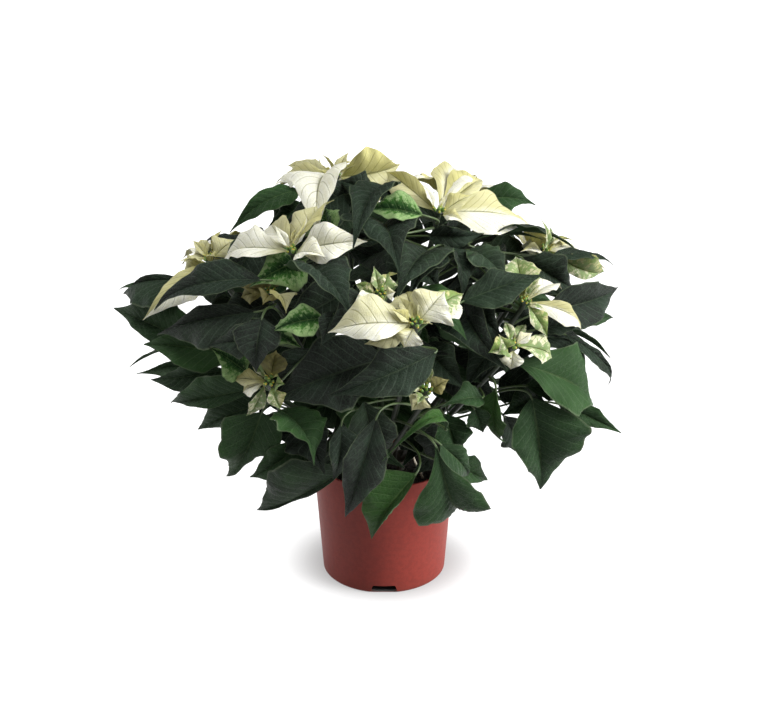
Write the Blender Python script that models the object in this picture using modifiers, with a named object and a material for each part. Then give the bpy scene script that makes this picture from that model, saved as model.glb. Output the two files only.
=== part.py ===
# Potted white poinsettia: a plastic nursery pot filled with soil, leafy stems that stand in holes in it, and
# at the tip of each shoot a bloom of cream bracts round a small cluster of buds. Lengths are in millimetres,
# and become metres where a mesh is made.
import math
import random
from collections import namedtuple

import bmesh
import bpy
from mathutils import Matrix, Vector
from mathutils.bvhtree import BVHTree

MM = 0.001
UP = Vector((0, 0, 1))
GAP = 0.4  # between pieces that touch

# The pot is turned about Z and stands on Z = 0 on its flat floor. Its wall has drain slots at its foot.
POT_HEIGHT = 115
POT_TOP_RADIUS = 67
POT_FOOT_RADIUS = 58.5
POT_WALL = 1.6
POT_RIM, POT_RIM_DEPTH, POT_RIM_ROUND = 2.4, 6, 0.8
POT_FOOT_ROUND = 3
POT_FLOOR = 2
POT_CORNER = 3  # inside, between wall and floor
POT_STEPS = 24
SLOT_COUNT = 3
SLOT_FRONT = math.radians(-90)
SLOT_TOP_WIDTH, SLOT_FOOT_WIDTH = 20, 27
SLOT_HEIGHT, SLOT_REACH = 6, 4  # reach is in and out from the foot's radius

# Soil level at the pot's wall, and how far its top heaps up in the middle
SOIL_TOP, SOIL_HEAP = 98, 7
SOIL_RINGS = (0, 0.3, 0.6, 0.85)
SOIL_CORNER = 8  # cut off all round its foot, which leaves the drain slots free
SOIL_HOLE_PAST = 20  # how far a hole's cutter runs past the end of what stands in it

# The plant is laid out as it is seen from one eye point, on a picture plane at PICTURE_DISTANCE. There,
# across runs right from the pot's axis and upward runs up from the foot of the pot, both in millimetres.
EYE = Vector((0, -1300, 718))
SIGHT_PITCH = math.radians(21.3)
PICTURE_DISTANCE = 1510
PICTURE_MIDDLE_UPWARD = 230.5
CROWN_MIDDLE_DISTANCE = 1386.6  # from the eye, along the sight line
SIGHT = Vector((0, math.cos(SIGHT_PITCH), -math.sin(SIGHT_PITCH)))
SIGHT_UP = Vector((0, math.sin(SIGHT_PITCH), math.cos(SIGHT_PITCH)))
RIGHT = Vector((1, 0, 0))

# The crown's surface as seen: its middle and half sizes, and how far its front stands towards the eye
CROWN_ACROSS, CROWN_UPWARD = -17, 262
CROWN_HALF_WIDTH, CROWN_RISE, CROWN_DROP = 255, 185, 215
CROWN_DEPTH = 200
CROWN_SQUARENESS, CROWN_FULLNESS = 1.4, 0.7

# Blades. A long one has more stations from base to tip.
LEAF_THICK = 0.8
BRACT_THICK = 0.7
STALK_WIDTH, STALK_THICK = 2.5, 2.1
STALK_KNEE, STALK_KNEE_SHARE = 20, 0.45  # how far before the blade a stalk bends
STALK_RISE, STALK_LEAST_RISE, STALK_MOST_RISE = 16, -6, 70  # of the blade's base over the stalk's root
STALK_RISE_WEIGHT = 0.6
ROOT_COUNT = 5  # of the places that are tried
BLADE_STATIONS = (0, 0.18, 0.42, 0.72, 1)
SMALL_BLADE_STATIONS = (0, 0.33, 0.68, 1)
TINY_BLADE_STATIONS = (0, 0.4, 1)
SMALL_BLADE, TINY_BLADE = 72, 38  # lengths under which a blade has fewer stations
OUTLINE_RISE, OUTLINE_FALL = 0.75, 1.4
SHOULDER, SHOULDER_PLACE, SHOULDER_REACH = 0.3, 0.42, 0.14  # an angular shoulder on one edge
SHOULDER_TURN = 7.3  # radians for each unit of a blade's character
EDGE_WAVE = 0.07  # of the width
EDGE_WAVE_COUNT, EDGE_WAVE_SHIFT = 1.4, 0.35  # along a blade, and from one edge to the other
LEAF_WIDTH_SHARE = 0.92
LEAF_FOLD, BRACT_FOLD = math.radians(14), math.radians(17)
CLEARANCE = 1.3  # of one blade from the next, on each side
CHARACTER_STEP = 0.37  # from one blade to the next, which sets its wave and shoulder

# Stems
TRUNK_RADIUS, SHOOT_RADIUS, TIP_RADIUS = 4.2, 3.0, 2.2
TRUNK_CIRCLE = 17
TRUNK_FOOT = 55
FORK_HEIGHT = 122
STEM_SIDES, TRUNK_SIDES, PAD_SIDES, BUD_SIDES = 6, 8, 5, 4
SHOOT_STEPS = 5
SHOOT_START = FORK_HEIGHT - 8
SHOOT_NECK = 12  # straight, under the bloom
SHOOT_SPREAD_FOOT, SHOOT_SPREAD_TIP, SHOOT_SPREAD_RISE = 0.7, 0.45, 0.42  # where a shoot bends
RECEPTACLE_RADIUS, RECEPTACLE_FOOT_RADIUS, RECEPTACLE_HEIGHT = 8.4, 7.6, 3.6
BUD_PAD_RADIUS, BUD_PAD_HEIGHT = 4.0, 1.2
BUD_RADIUS, BUD_HEIGHT, BUD_CIRCLE, BUD_COUNT = 1.8, 5.0, 2.4, 3
BUD_FOOT_SHARE = 0.8  # of a bud's radius at its foot
BLOOM_LEVELS = (
    -RECEPTACLE_HEIGHT / 2,
    RECEPTACLE_HEIGHT / 2,
    RECEPTACLE_HEIGHT / 2 + BUD_PAD_HEIGHT + BUD_HEIGHT,
)  # of the receptacle's foot, its rim and the buds' tops
BRACT_ROOT = 5  # from the bloom's axis
BLOOM_LEAN = 0.003  # outwards, for each millimetre from the pot's axis

Leaf = namedtuple(
    "Leaf", "base_across base_up tip_across tip_up width base_sink tip_sink face_right face_up bow"
)
Bloom = namedtuple("Bloom", "stem across up sink tilt bracts")
Bract = namedtuple("Bract", "across up width sink face_right face_up bow")
Ring = namedtuple("Ring", "count length steep turn")  # of bracts, with both angles in degrees

# Leaves of the crown's front. Base and tip are as seen, sinks are depths below the crown's surface, and the
# face leans right and up from facing the eye. Bow is the arch's height as a share of the length.
LEAVES = [
    Leaf(*row)
    for row in (
        # Upper left
        (-84, 402, -152, 363, 42, 35, 20, 0.0, 0.8, 0.16),
        (-76, 386, -115, 366, 22, 60, 45, 0.0, 0.9, 0.10),
        (-128, 336, -180, 349, 32, 45, 20, 0.0, 1.0, 0.20),
        (-180, 308, -260, 300, 50, 40, 10, 0.0, 0.5, 0.14),
        (-215, 305, -264, 304, 22, 60, 30, 0.0, 0.8, 0.10),
        (-180, 244, -270, 284, 54, 50, 0, 0.0, 0.1, 0.06),
        (-128, 280, -226, 259, 56, 30, 0, 0.0, 0.3, 0.08),
        (-122, 312, -228, 285, 46, 5, -12, 0.0, 0.7, 0.16),
        (-115, 288, -165, 262, 44, 45, 30, 0.0, 0.3, 0.10),
        (-79, 334, -132, 307, 34, 10, 0, 0.0, 0.4, 0.16),
        # Left side
        (-150, 238, -238, 248, 50, 60, 12, 0.0, 0.2, 0.10),
        (-160, 228, -247, 221, 42, 75, 25, 0.0, 1.1, 0.06),
        (-158, 222, -232, 212, 40, 50, 8, 0.0, 0.3, 0.08),
        (-130, 204, -212, 190, 46, 22, -5, 0.0, 0.3, 0.10),
        (-125, 188, -186, 163, 46, 45, 10, 0.0, 0.1, 0.10),
        (-138, 220, -171, 243, 30, 12, 0, 0.0, 0.3, 0.12),
        (-122, 274, -128, 222, 46, 5, -8, -0.2, 0.1, 0.12),
        # Lower left
        (-122, 180, -153, 119, 62, 15, -15, -0.2, 0.1, 0.10),
        (-78, 150, -133, 115, 44, 40, -15, 0.0, 0.3, 0.10),
        (-72, 142, -117, 104, 38, 55, -15, 0.0, 0.2, 0.08),
        (-40, 122, -125, 81, 60, 30, -30, 0.0, 0.2, 0.10),
        (-104, 182, -70, 130, 62, 5, -12, 0.1, 0.2, 0.14),
        (-45, 186, -50, 114, 54, 35, 20, 0.0, 0.1, 0.10),
        (-8, 174, -38, 76, 48, 5, -45, 0.1, 0.1, 0.10),
        (32, 118, -12, 55, 40, -10, -52, -0.2, 0.3, 0.14),
        # Front middle
        (2, 234, -113, 191, 68, 22, 0, 0.0, 0.3, 0.10),
        (52, 240, -52, 197, 46, 2, -10, 0.0, 0.3, 0.10),
        (-14, 292, -56, 260, 38, 12, 0, 0.0, 0.3, 0.12),
        (-85, 322, -36, 283, 62, 10, -5, 0.0, 0.1, 0.12),
        (-60, 274, -109, 262, 26, 18, 5, 0.0, 0.4, 0.14),
        (-114, 258, -85, 246, 20, 25, 15, 0.0, 0.4, 0.12),
        (-2, 364, 14, 325, 68, 45, -8, 0.0, 0.6, 0.16),
        (0, 356, -40, 338, 38, 30, 10, 0.0, 0.4, 0.12),
        (46, 340, 14, 298, 48, 18, 0, -0.2, 0.2, 0.12),
        (62, 162, 2, 134, 28, 0, -30, 0.0, 0.6, 0.30),
        # Top
        (6, 404, -30, 350, 46, 15, 0, -0.3, 0.2, 0.14),
        (38, 377, -23, 382, 34, 5, -5, 0.0, 0.2, 0.08),
        (6, 394, -9, 422, 32, 45, 30, 0.0, 0.1, 0.06),
        (-12, 398, -45, 411, 27, 45, 30, 0.0, 0.3, 0.14),
        (-50, 352, -57, 377, 26, 15, 5, 0.0, 0.0, 0.08),
        (95, 392, 150, 388, 36, 45, 20, 0.0, 0.5, 0.16),
        (58, 384, 76, 405, 22, 55, 50, 0.0, 0.2, 0.12),
        # Upper right
        (86, 350, 191, 345, 34, 35, 5, 0.0, 0.8, 0.10),
        (44, 356, 98, 358, 34, 15, 5, 0.0, 0.5, 0.10),
        (60, 346, 78, 297, 40, 10, -5, 0.1, 0.2, 0.14),
        (84, 342, 122, 310, 40, 25, 8, 0.2, 0.3, 0.12),
        (78, 290, 157, 317, 48, 2, -8, 0.0, 0.3, 0.08),
        (165, 334, 228, 330, 26, 45, 10, 0.0, 1.5, 0.20),
        (138, 334, 188, 304, 44, 45, 25, 0.2, 0.3, 0.14),
        # Right side
        (158, 280, 235, 304, 54, 25, -5, 0.0, 0.1, 0.08),
        (188, 268, 230, 275, 18, 60, 45, 0.0, 0.3, 0.06),
        (150, 262, 198, 262, 24, 30, 20, 0.0, 0.9, 0.10),
        (140, 254, 205, 244, 38, 50, 25, 0.0, 0.8, 0.10),
        (180, 258, 226, 209, 24, 25, 0, 0.6, 0.2, 0.22),
        (130, 230, 201, 190, 66, 8, -12, 0.2, 0.4, 0.10),
        (118, 212, 190, 197, 36, 35, 15, 0.0, 0.4, 0.08),
        (178, 187, 234, 161, 36, 35, 0, 0.0, 0.2, 0.06),
        (148, 194, 157, 104, 70, 5, -25, 0.1, 0.1, 0.08),
        (112, 202, 120, 150, 38, 15, -5, -0.9, 0.2, 0.14),
        (120, 176, 136, 141, 30, 45, 25, 0.0, 0.2, 0.10),
        # Lower right
        (80, 288, 119, 226, 62, 4, -10, 0.0, 0.2, 0.14),
        (90, 184, 99, 160, 24, 25, 5, 0.0, 0.2, 0.12),
        (60, 178, 72, 136, 34, 35, 20, 0.1, 0.2, 0.14),
        (56, 148, 84, 117, 38, 5, -18, 0.2, 0.2, 0.14),
        (46, 130, 77, 82, 62, 0, -35, 0.2, 0.1, 0.16),
        (62, 128, 104, 112, 30, 20, 0, 0.0, 0.2, 0.08),
        (98, 194, 60, 186, 26, 30, 20, 0.0, 0.6, 0.12),
    )
]

# Blooms, each with the stem that carries it, its middle as seen, its sink, its tilt to the eye, and its
# bracts, which are given by their tips
BLOOMS = [
    Bloom(*row[:5], [Bract(*bract) for bract in row[5]])
    for row in (
        (1, 32, 268, -14, 0.5, (
            (-53, 261, 46, -10, 0.0, 0.6, 0.12), (20, 245, 26, -14, 0.0, 0.5, 0.10),
            (79, 299, 32, -8, -0.3, 0.0, 0.10), (79, 286, 24, 5, 0.0, 0.4, 0.08),
            (22, 300, 32, 8, 0.0, 0.1, 0.06), (60, 300, 38, 10, 0.0, 0.1, 0.06),
            (14, 296, 11, -12, 0.3, 0.2, 0.05), (-18, 248, 20, 5, 0.0, 0.3, 0.10))),
        (0, -92, 340, -8, 0.3, (
            (-162, 331, 34, -5, 0.0, 0.9, 0.14), (-113, 368, 32, 0, 0.2, 0.1, 0.08),
            (-83, 374, 30, -4, -0.2, 0.1, 0.06), (-20, 351, 36, -4, 0.0, 0.4, 0.08),
            (-132, 354, 20, 15, 0.0, 0.5, 0.14), (-60, 336, 26, -16, 0.0, 0.8, 0.10))),
        (3, -48, 414, 25, 0.0, (
            (-67, 358, 50, 5, -0.3, 0.4, 0.24), (-107, 411, 28, 25, 0.0, 0.7, 0.12),
            (-97, 428, 16, 35, 0.0, 0.2, 0.10), (-79, 426, 20, 40, 0.0, 0.6, 0.10),
            (15, 427, 54, 28, 0.0, -0.4, 0.12))),
        (3, 54, 379, 5, 0.1, (
            (2, 421, 32, 30, -0.2, 0.3, 0.08), (70, 427, 44, 30, 0.0, 0.0, 0.05),
            (92, 417, 24, 20, 0.0, 0.3, 0.30), (145, 370, 50, 0, 0.0, 0.4, 0.10),
            (158, 365, 30, 35, 0.0, 0.6, 0.14), (88, 397, 16, 5, 0.0, 0.8, 0.08),
            (78, 372, 14, -10, 0.0, 0.8, 0.06))),
        (0, -174, 332, 5, 0.2, (
            (-190, 338, 28, 5, 0.0, 0.4, 0.10), (-200, 318, 20, -4, -0.2, 0.2, 0.14),
            (-239, 275, 38, 10, 0.0, 0.2, 0.06), (-150, 352, 24, 12, 0.0, 0.4, 0.10))),
        (0, -112, 300, 35, 0.4, (
            (-143, 295, 18, 32, 0.0, 0.4, 0.10), (-121, 288, 16, 20, 0.0, 0.5, 0.20),
            (-98, 281, 22, 20, 0.2, 0.2, 0.16), (-122, 313, 9, 28, 0.0, 0.0, 0.08),
            (-104, 314, 9, 28, 0.0, 0.0, 0.08))),
        (0, -114, 209, 5, 0.5, (
            (-108, 241, 30, 14, 0.0, 0.1, 0.08), (-150, 213, 18, 5, 0.0, 0.4, 0.10),
            (-141, 200, 18, -2, 0.0, 0.1, 0.08), (-137, 176, 18, -6, 0.0, 0.2, 0.08),
            (-104, 183, 24, -6, 0.0, 0.3, 0.10), (-100, 208, 12, 2, 0.0, 0.3, 0.06))),
        (2, 140, 290, 2, 0.4, (
            (132, 336, 30, 10, 0.0, 0.1, 0.06), (150, 322, 20, 2, 0.0, 0.0, 0.06),
            (177, 305, 24, 0, 0.0, 0.5, 0.10), (197, 264, 36, 0, 0.0, 0.5, 0.18),
            (163, 256, 16, -4, 0.0, 0.4, 0.10))),
        (2, 160, 341, 15, 0.2, (
            (192, 346, 26, 15, 0.0, 0.4, 0.08), (138, 341, 12, 12, 0.0, 0.6, 0.10),
            (163, 328, 11, 4, 0.0, 0.2, 0.06), (220, 320, 28, 25, 0.1, 0.2, 0.14))),
        (2, 128, 246, 8, 0.5, (
            (121, 270, 10, 2, 0.3, 0.1, 0.14), (116, 256, 14, 0, 0.2, 0.1, 0.08),
            (168, 235, 24, 2, 0.0, 0.5, 0.12), (148, 259, 10, 5, 0.0, 0.2, 0.06),
            (127, 223, 20, 0, 0.0, 0.2, 0.08), (106, 240, 22, 4, 0.0, 0.3, 0.10))),
        (1, 42, 200, 28, 0.5, (
            (28, 182, 20, 15, -0.1, 0.2, 0.12), (64, 212, 17, 20, 0.0, 0.4, 0.12),
            (26, 214, 16, 26, 0.0, 0.2, 0.08))),
        (1, -4, 296, 12, 0.5, (
            (-31, 286, 18, 5, 0.0, 0.3, 0.08), (4, 318, 16, 8, 0.2, 0.1, 0.06),
            (11, 300, 11, 4, 0.0, 0.2, 0.06), (-24, 303, 14, 10, 0.0, 0.3, 0.08))),
    )
]

# The crown's back follows a rule: its blooms by stem, direction from the pot's axis, radius and height, and
# its leaves in tiers by height of the tips, count, reach and length of the blades
BACK_SEED = 7
BACK_BLOOMS = (
    (4, 58, 120, 338),
    (3, 118, 100, 350),
    (3, 98, 172, 282),
    (4, 28, 168, 285),
    (0, 152, 168, 285),
)
BACK_LEAF_TIERS = (
    (322, 5, 165, 80),
    (275, 8, 205, 92),
    (225, 8, 212, 96),
    (170, 7, 188, 92),
    (122, 4, 140, 80),
)
BACK_FROM, BACK_TO = -12, 192  # degrees round the pot from the right-hand side
BACK_MIDDLE = -12  # across
RINGS = (Ring(5, 66, 14, 0), Ring(2, 38, 46, 32))
RING_WIDTH_SHARE, RING_BOW = 0.5, 0.12
BACK_WIDTH_SHARES, BACK_BOW = (0.5, 0.6), 0.12

# Broad leaves inside the crown, in rows as seen: upward, count, spread, and depth below the crown's surface
INNER_SEED = 3
INNER_ROWS = (
    (365, 4, 200, 55),
    (330, 5, 290, 55),
    (290, 6, 340, 55),
    (250, 6, 340, 55),
    (210, 6, 300, 55),
    (170, 5, 220, 55),
    (135, 3, 120, 55),
    (345, 3, 180, 130),
    (275, 4, 320, 140),
    (205, 3, 260, 130),
)
INNER_LENGTH, INNER_WIDTH_SHARE, INNER_BOW = 88, 0.62, 0.08
TRIES, RULE_NUDGES = 6, 60  # for a leaf that follows a rule

# The trunks stand round the pot's middle in these directions, in degrees
STEM_DIRECTIONS = (190, 262, 334, 118, 46)

# A pale bare stalk that stands in the soil
BARE_STALK_FOOT, BARE_STALK_TOP = (35, -20, 104), (23.5, -30, 138)
BARE_STALK_RADIUS = 1.3
BARE_STALK_BURIED = 30

LEAF_GREEN = (0.045, 0.075, 0.045, 1)
BRACT_CREAM = (0.86, 0.84, 0.62, 1)
BUD_GREEN = (0.45, 0.52, 0.12, 1)
POT_TERRACOTTA = (0.42, 0.085, 0.06, 1)
SOIL_BROWN = (0.035, 0.024, 0.018, 1)
BARE_STALK_BEIGE = (0.62, 0.52, 0.38, 1)


def seen(across, upward, towards):
    # The point seen at (across, upward) that stands this far towards the eye from the crown's middle
    ray = RIGHT * across + SIGHT_UP * (upward - PICTURE_MIDDLE_UPWARD) + SIGHT * PICTURE_DISTANCE
    return EYE + ray * ((CROWN_MIDDLE_DISTANCE - towards) / PICTURE_DISTANCE)


def crown_surface(across, upward):
    rise = upward - CROWN_UPWARD
    x = abs(across - CROWN_ACROSS) / CROWN_HALF_WIDTH
    y = rise / CROWN_RISE if rise > 0 else -rise / CROWN_DROP
    left = 1 - x**CROWN_SQUARENESS - y**CROWN_SQUARENESS
    return CROWN_DEPTH * max(0, left) ** CROWN_FULLNESS


def on_crown(across, upward, sink):
    return seen(across, upward, crown_surface(across, upward) - sink)


def level_with(direction, axis):
    # The part of a direction that is square to the axis
    return (direction - axis * direction.dot(axis)).normalized()


def facing(across_way, up_way):
    # The direction to the eye, leant right and up
    return -SIGHT + RIGHT * across_way + UP * up_way


def outline(share):
    # Half width of an ovate blade with a drawn-out tip, as a share of its greatest
    widest = OUTLINE_RISE / (OUTLINE_RISE + OUTLINE_FALL)
    return (share / widest) ** OUTLINE_RISE * ((1 - share) / (1 - widest)) ** OUTLINE_FALL


def edge_of(share, side, character):
    # Width factor and wave of one edge: a shoulder on one side of the blade, and a ripple. The blade's
    # character sets both.
    shoulder = SHOULDER * math.sin(character * SHOULDER_TURN)
    bump = max(0, 1 - abs(share - SHOULDER_PLACE) / SHOULDER_REACH)
    factor = 1 + (max(0, shoulder) if side > 0 else max(0, -shoulder)) * bump
    turns = EDGE_WAVE_COUNT * share + character + EDGE_WAVE_SHIFT * side
    wave = EDGE_WAVE * math.sin(2 * math.pi * turns)
    return factor, wave * math.sin(math.pi * share)


def stations_for(length):
    if length < TINY_BLADE:
        return TINY_BLADE_STATIONS
    return SMALL_BLADE_STATIONS if length < SMALL_BLADE else BLADE_STATIONS


def blade_rows(base, tip, width, face, bow, fold, character, stations=None):
    # (left edge, midrib, right edge) at each station of a blade that arches over its chord and folds along
    # its midrib
    chord = tip - base
    normal = level_with(face, chord.normalized())
    side = chord.normalized().cross(normal)
    rows = []
    for share in stations or stations_for(chord.length):
        rib = base + chord * share + normal * (4 * bow * chord.length * share * (1 - share))
        row = [rib]
        least = STALK_WIDTH / 2 if share == 0 else 0
        for sign in (-1, 1):
            factor, wave = edge_of(share, sign, character)
            half = max(outline(share) * width / 2 * factor, least)
            lift = half * math.sin(fold) + wave * width
            row.append(rib + side * (sign * half * math.cos(fold)) + normal * lift)
        rows.append((row[1], row[0], row[2]))
    return rows


def stalk_rows(root, rows, straight):
    # The stalk's rows before the blade's base: its root in the stem, and where it bends
    base, leave = rows[0][1], (rows[1][1] - rows[0][1]).normalized()
    reach = (rows[0][2] - rows[0][0]).normalized() * (STALK_WIDTH / 2)
    knee = base - leave * min(STALK_KNEE, (base - root).length * STALK_KNEE_SHARE)
    places = [root] if straight else [root, root * 0.2 + knee * 0.5 + base * 0.3]
    return [(place - reach, place, place + reach) for place in places]


def thick_faces(rows, thick):
    # Points and faces of a closed slab round the rows, for tests of what crosses it
    points, faces = [], []
    for left, rib, right in rows:
        across = right - left
        along = rows[-1][1] - rows[0][1]
        normal = (across if across.length > 0 else RIGHT).cross(along).normalized() * thick
        points += [left + normal, rib + normal, right + normal, right - normal, rib - normal, left - normal]
    for i in range(len(rows) - 1):
        for j in range(6):
            a, b = 6 * i + j, 6 * i + (j + 1) % 6
            faces += [(a, b, b + 6), (a, b + 6, a + 6)]
    return points, faces


class Thicket:
    # What is already placed, so that the next blade is bent clear of it

    def __init__(self):
        self.points, self.faces, self.owners, self.tree = [], [], [], None

    def add(self, points, faces, owner=None):
        first = len(self.points)
        self.points += points
        self.faces += [tuple(first + i for i in face) for face in faces]
        self.owners += [owner] * len(faces)
        self.tree = BVHTree.FromPolygons(self.points, self.faces)

    def crosses(self, points, faces, owner=None):
        # Whether these faces cut any that aren't the owner's
        pairs = self.tree.overlap(BVHTree.FromPolygons(points, faces))
        return any(owner is None or self.owners[i] != owner for i, _ in pairs)


def tube_faces(path, radii, sides=STEM_SIDES):
    # Points and faces of a round tube along a path, for the same tests
    points, faces = [], []
    for i, middle in enumerate(path):
        along = (path[min(i + 1, len(path) - 1)] - path[max(i - 1, 0)]).normalized()
        first = level_with(RIGHT + UP * 0.3, along)
        second = along.cross(first)
        for k in range(sides):
            angle = 2 * math.pi * k / sides
            points.append(middle + (first * math.cos(angle) + second * math.sin(angle)) * radii[i])
    for i in range(len(path) - 1):
        for k in range(sides):
            a, b = sides * i + k, sides * i + (k + 1) % sides
            faces.append((a, b, b + sides, a + sides))
    return points, faces


def bend(start, control, end, steps):
    return [
        start * (1 - k / steps) ** 2 + control * (2 * (k / steps) * (1 - k / steps)) + end * (k / steps) ** 2
        for k in range(steps + 1)
    ]


def trunk_place(stem):
    angle = math.radians(STEM_DIRECTIONS[stem])
    return Vector((math.cos(angle), math.sin(angle), 0)) * TRUNK_CIRCLE


def shoot_path(stem, end, axis):
    # From the fork of its trunk, out and up to just under its bloom
    start = trunk_place(stem) + UP * SHOOT_START
    top = end - axis * (RECEPTACLE_HEIGHT / 2 + GAP)
    control = start * SHOOT_SPREAD_FOOT + end * SHOOT_SPREAD_TIP
    control.z = start.z + (end.z - start.z) * SHOOT_SPREAD_RISE
    return bend(start, control, top - axis * SHOOT_NECK, SHOOT_STEPS - 1) + [top]


def bloom_axis(middle, tilt):
    # A bloom looks up and outwards, and its tilt turns it further to the eye
    outward = Vector((middle.x, middle.y, 0)) * BLOOM_LEAN
    return (UP + outward - SIGHT * tilt).normalized()


def planned_blooms():
    # (stem, middle, axis, [(tip, width, face, bow)]) of every bloom
    blooms = []
    for bloom in BLOOMS:
        middle = on_crown(bloom.across, bloom.up, bloom.sink)
        bracts = [
            (on_crown(b.across, b.up, b.sink), b.width, facing(b.face_right, b.face_up), b.bow)
            for b in bloom.bracts
        ]
        blooms.append((bloom.stem, middle, bloom_axis(middle, bloom.tilt), bracts))
    draw = random.Random(BACK_SEED)
    for stem, direction, radius, height in BACK_BLOOMS:
        angle = math.radians(direction)
        middle = Vector((math.cos(angle) * radius, math.sin(angle) * radius, height))
        axis = bloom_axis(middle, 0)
        blooms.append((stem, middle, axis, rosette(middle, axis, draw)))
    return blooms


def rosette(middle, axis, draw):
    # Large bracts round the bloom, and smaller ones that stand steeper inside them
    first = level_with(RIGHT, axis)
    second = axis.cross(first)
    bracts = []
    for ring in RINGS:
        for k in range(ring.count):
            angle = 2 * math.pi * (k + draw.uniform(-0.16, 0.16)) / ring.count + math.radians(ring.turn)
            steep = math.radians(ring.steep) + draw.uniform(-0.14, 0.14)
            length = ring.length * draw.uniform(0.88, 1.12)
            out = first * math.cos(angle) + second * math.sin(angle)
            tip = middle + (out * math.cos(steep) + axis * math.sin(steep)) * length
            face = axis * math.cos(steep) - out * math.sin(steep)
            bracts.append((tip, length * RING_WIDTH_SHARE, face, RING_BOW))
    return bracts


def seen_leaf(leaf, slimmer, deeper):
    return (
        on_crown(leaf.base_across, leaf.base_up, leaf.base_sink + deeper),
        on_crown(leaf.tip_across, leaf.tip_up, leaf.tip_sink),
        leaf.width * LEAF_WIDTH_SHARE * slimmer,
        facing(leaf.face_right, leaf.face_up),
        leaf.bow,
    )


def back_leaf(k, tier, draw):
    height, count, reach, length = tier
    share = (k + 0.5 + draw.uniform(-0.3, 0.3)) / count
    angle = math.radians(BACK_FROM + (BACK_TO - BACK_FROM) * share)
    out = Vector((math.cos(angle), math.sin(angle), 0))
    tip = out * (reach * draw.uniform(0.9, 1.04)) + UP * (height + draw.uniform(-18, 18))
    tip.x += BACK_MIDDLE
    rise = draw.uniform(-0.3, 0.6)
    base = tip - (out * math.cos(rise) - UP * math.sin(rise)) * (length * draw.uniform(0.9, 1.1))
    return base, tip, length * draw.uniform(*BACK_WIDTH_SHARES), UP + out, BACK_BOW


def inner_leaf(k, row, draw):
    upward, count, spread, sink = row
    across = CROWN_ACROSS + spread * ((k + 0.5) / count - 0.5) + draw.uniform(-16, 16)
    tip = on_crown(across, upward + draw.uniform(-16, 16), sink + draw.uniform(-15, 60))
    out = Vector((tip.x, tip.y * 0.5, 0)).normalized()
    way = (out + RIGHT * draw.uniform(-0.6, 0.6) - UP * draw.uniform(-0.2, 0.9)).normalized()
    length = INNER_LENGTH * draw.uniform(0.8, 1)
    face = facing(draw.uniform(-0.3, 0.3), draw.uniform(0, 0.4))
    return tip - way * length, tip, length * INNER_WIDTH_SHARE, face, INNER_BOW


def planned_leaves():
    # (eye, stations, tries) of every leaf, where a try is (base, tip, width, face, bow). Stations are None
    # for those that are seen. Those of the back and those inside the crown follow a rule, and have few.
    leaves = [(EYE, None, [seen_leaf(leaf, 1, 0), seen_leaf(leaf, 0.8, 30)]) for leaf in LEAVES]
    back_eye = Vector((EYE.x, -EYE.y, EYE.z))
    draw = random.Random(BACK_SEED)
    for tier in BACK_LEAF_TIERS:
        for k in range(tier[1]):
            tries = [back_leaf(k, tier, draw) for _ in range(TRIES)]
            leaves.append((back_eye, SMALL_BLADE_STATIONS, tries))
    draw = random.Random(INNER_SEED)
    for row in INNER_ROWS:
        for k in range(row[1]):
            tries = [inner_leaf(k, row, draw) for _ in range(TRIES)]
            leaves.append((EYE, TINY_BLADE_STATIONS, tries))
    return leaves


NUDGES = sorted(
    (
        (base, tip, turn)
        for base in range(-60, 61, 12)
        for tip in range(-48, 49, 12)
        for turn in (0, -0.5, 0.5, -1, 1)
    ),
    key=lambda nudge: abs(nudge[0]) + 1.4 * abs(nudge[1]) + 16 * abs(nudge[2]),
)
TIP_NUDGES = [nudge for nudge in NUDGES if nudge[0] == 0]


def nudged(base, tip, face, nudge, eye):
    # The same blade as seen, moved along the sight lines of its ends and turned a little about its length
    base_move, tip_move, turn = nudge
    chord = (tip - base).normalized()
    moved_base = base + (eye - base).normalized() * base_move
    moved_tip = tip + (eye - tip).normalized() * tip_move
    return moved_base, moved_tip, face + chord.cross(face) * turn


def settled_bracts(k, middle, axis, bracts, thicket):
    placed = []
    for n, (tip, width, face, bow) in enumerate(bracts):
        for nudge in TIP_NUDGES:
            _, moved, turned = nudged(middle, tip, face, nudge, EYE)
            root = middle + level_with(moved - middle, axis) * BRACT_ROOT
            rows = blade_rows(root, moved, width, turned, bow, BRACT_FOLD, k + n * CHARACTER_STEP)
            if not thicket.crosses(*thick_faces(rows, CLEARANCE), ("bloom", k)):
                placed.append(rows)
                thicket.add(*thick_faces(rows[1:], CLEARANCE / 2))
                thicket.add(*thick_faces(rows[:2], CLEARANCE / 2), ("bloom", k))
                break
        else:
            print("no room for a bract at", [round(x) for x in tip])
    return placed


def roots_near(base, shoots):
    # Places on the shoots where the leaf's stalk could start, nearest first
    found = []
    for stem, path in shoots:
        for i in range(1, len(path) - 1):
            for share in (0, 0.33, 0.67):
                place = path[i].lerp(path[i + 1], share)
                rise = base.z - place.z
                if STALK_LEAST_RISE < rise < STALK_MOST_RISE:
                    cost = (place - base).length + abs(rise - STALK_RISE) * STALK_RISE_WEIGHT
                    found.append((cost, stem, place))
    found.sort(key=lambda entry: entry[0])
    return [entry[1:] for entry in found[:ROOT_COUNT]]


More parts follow.
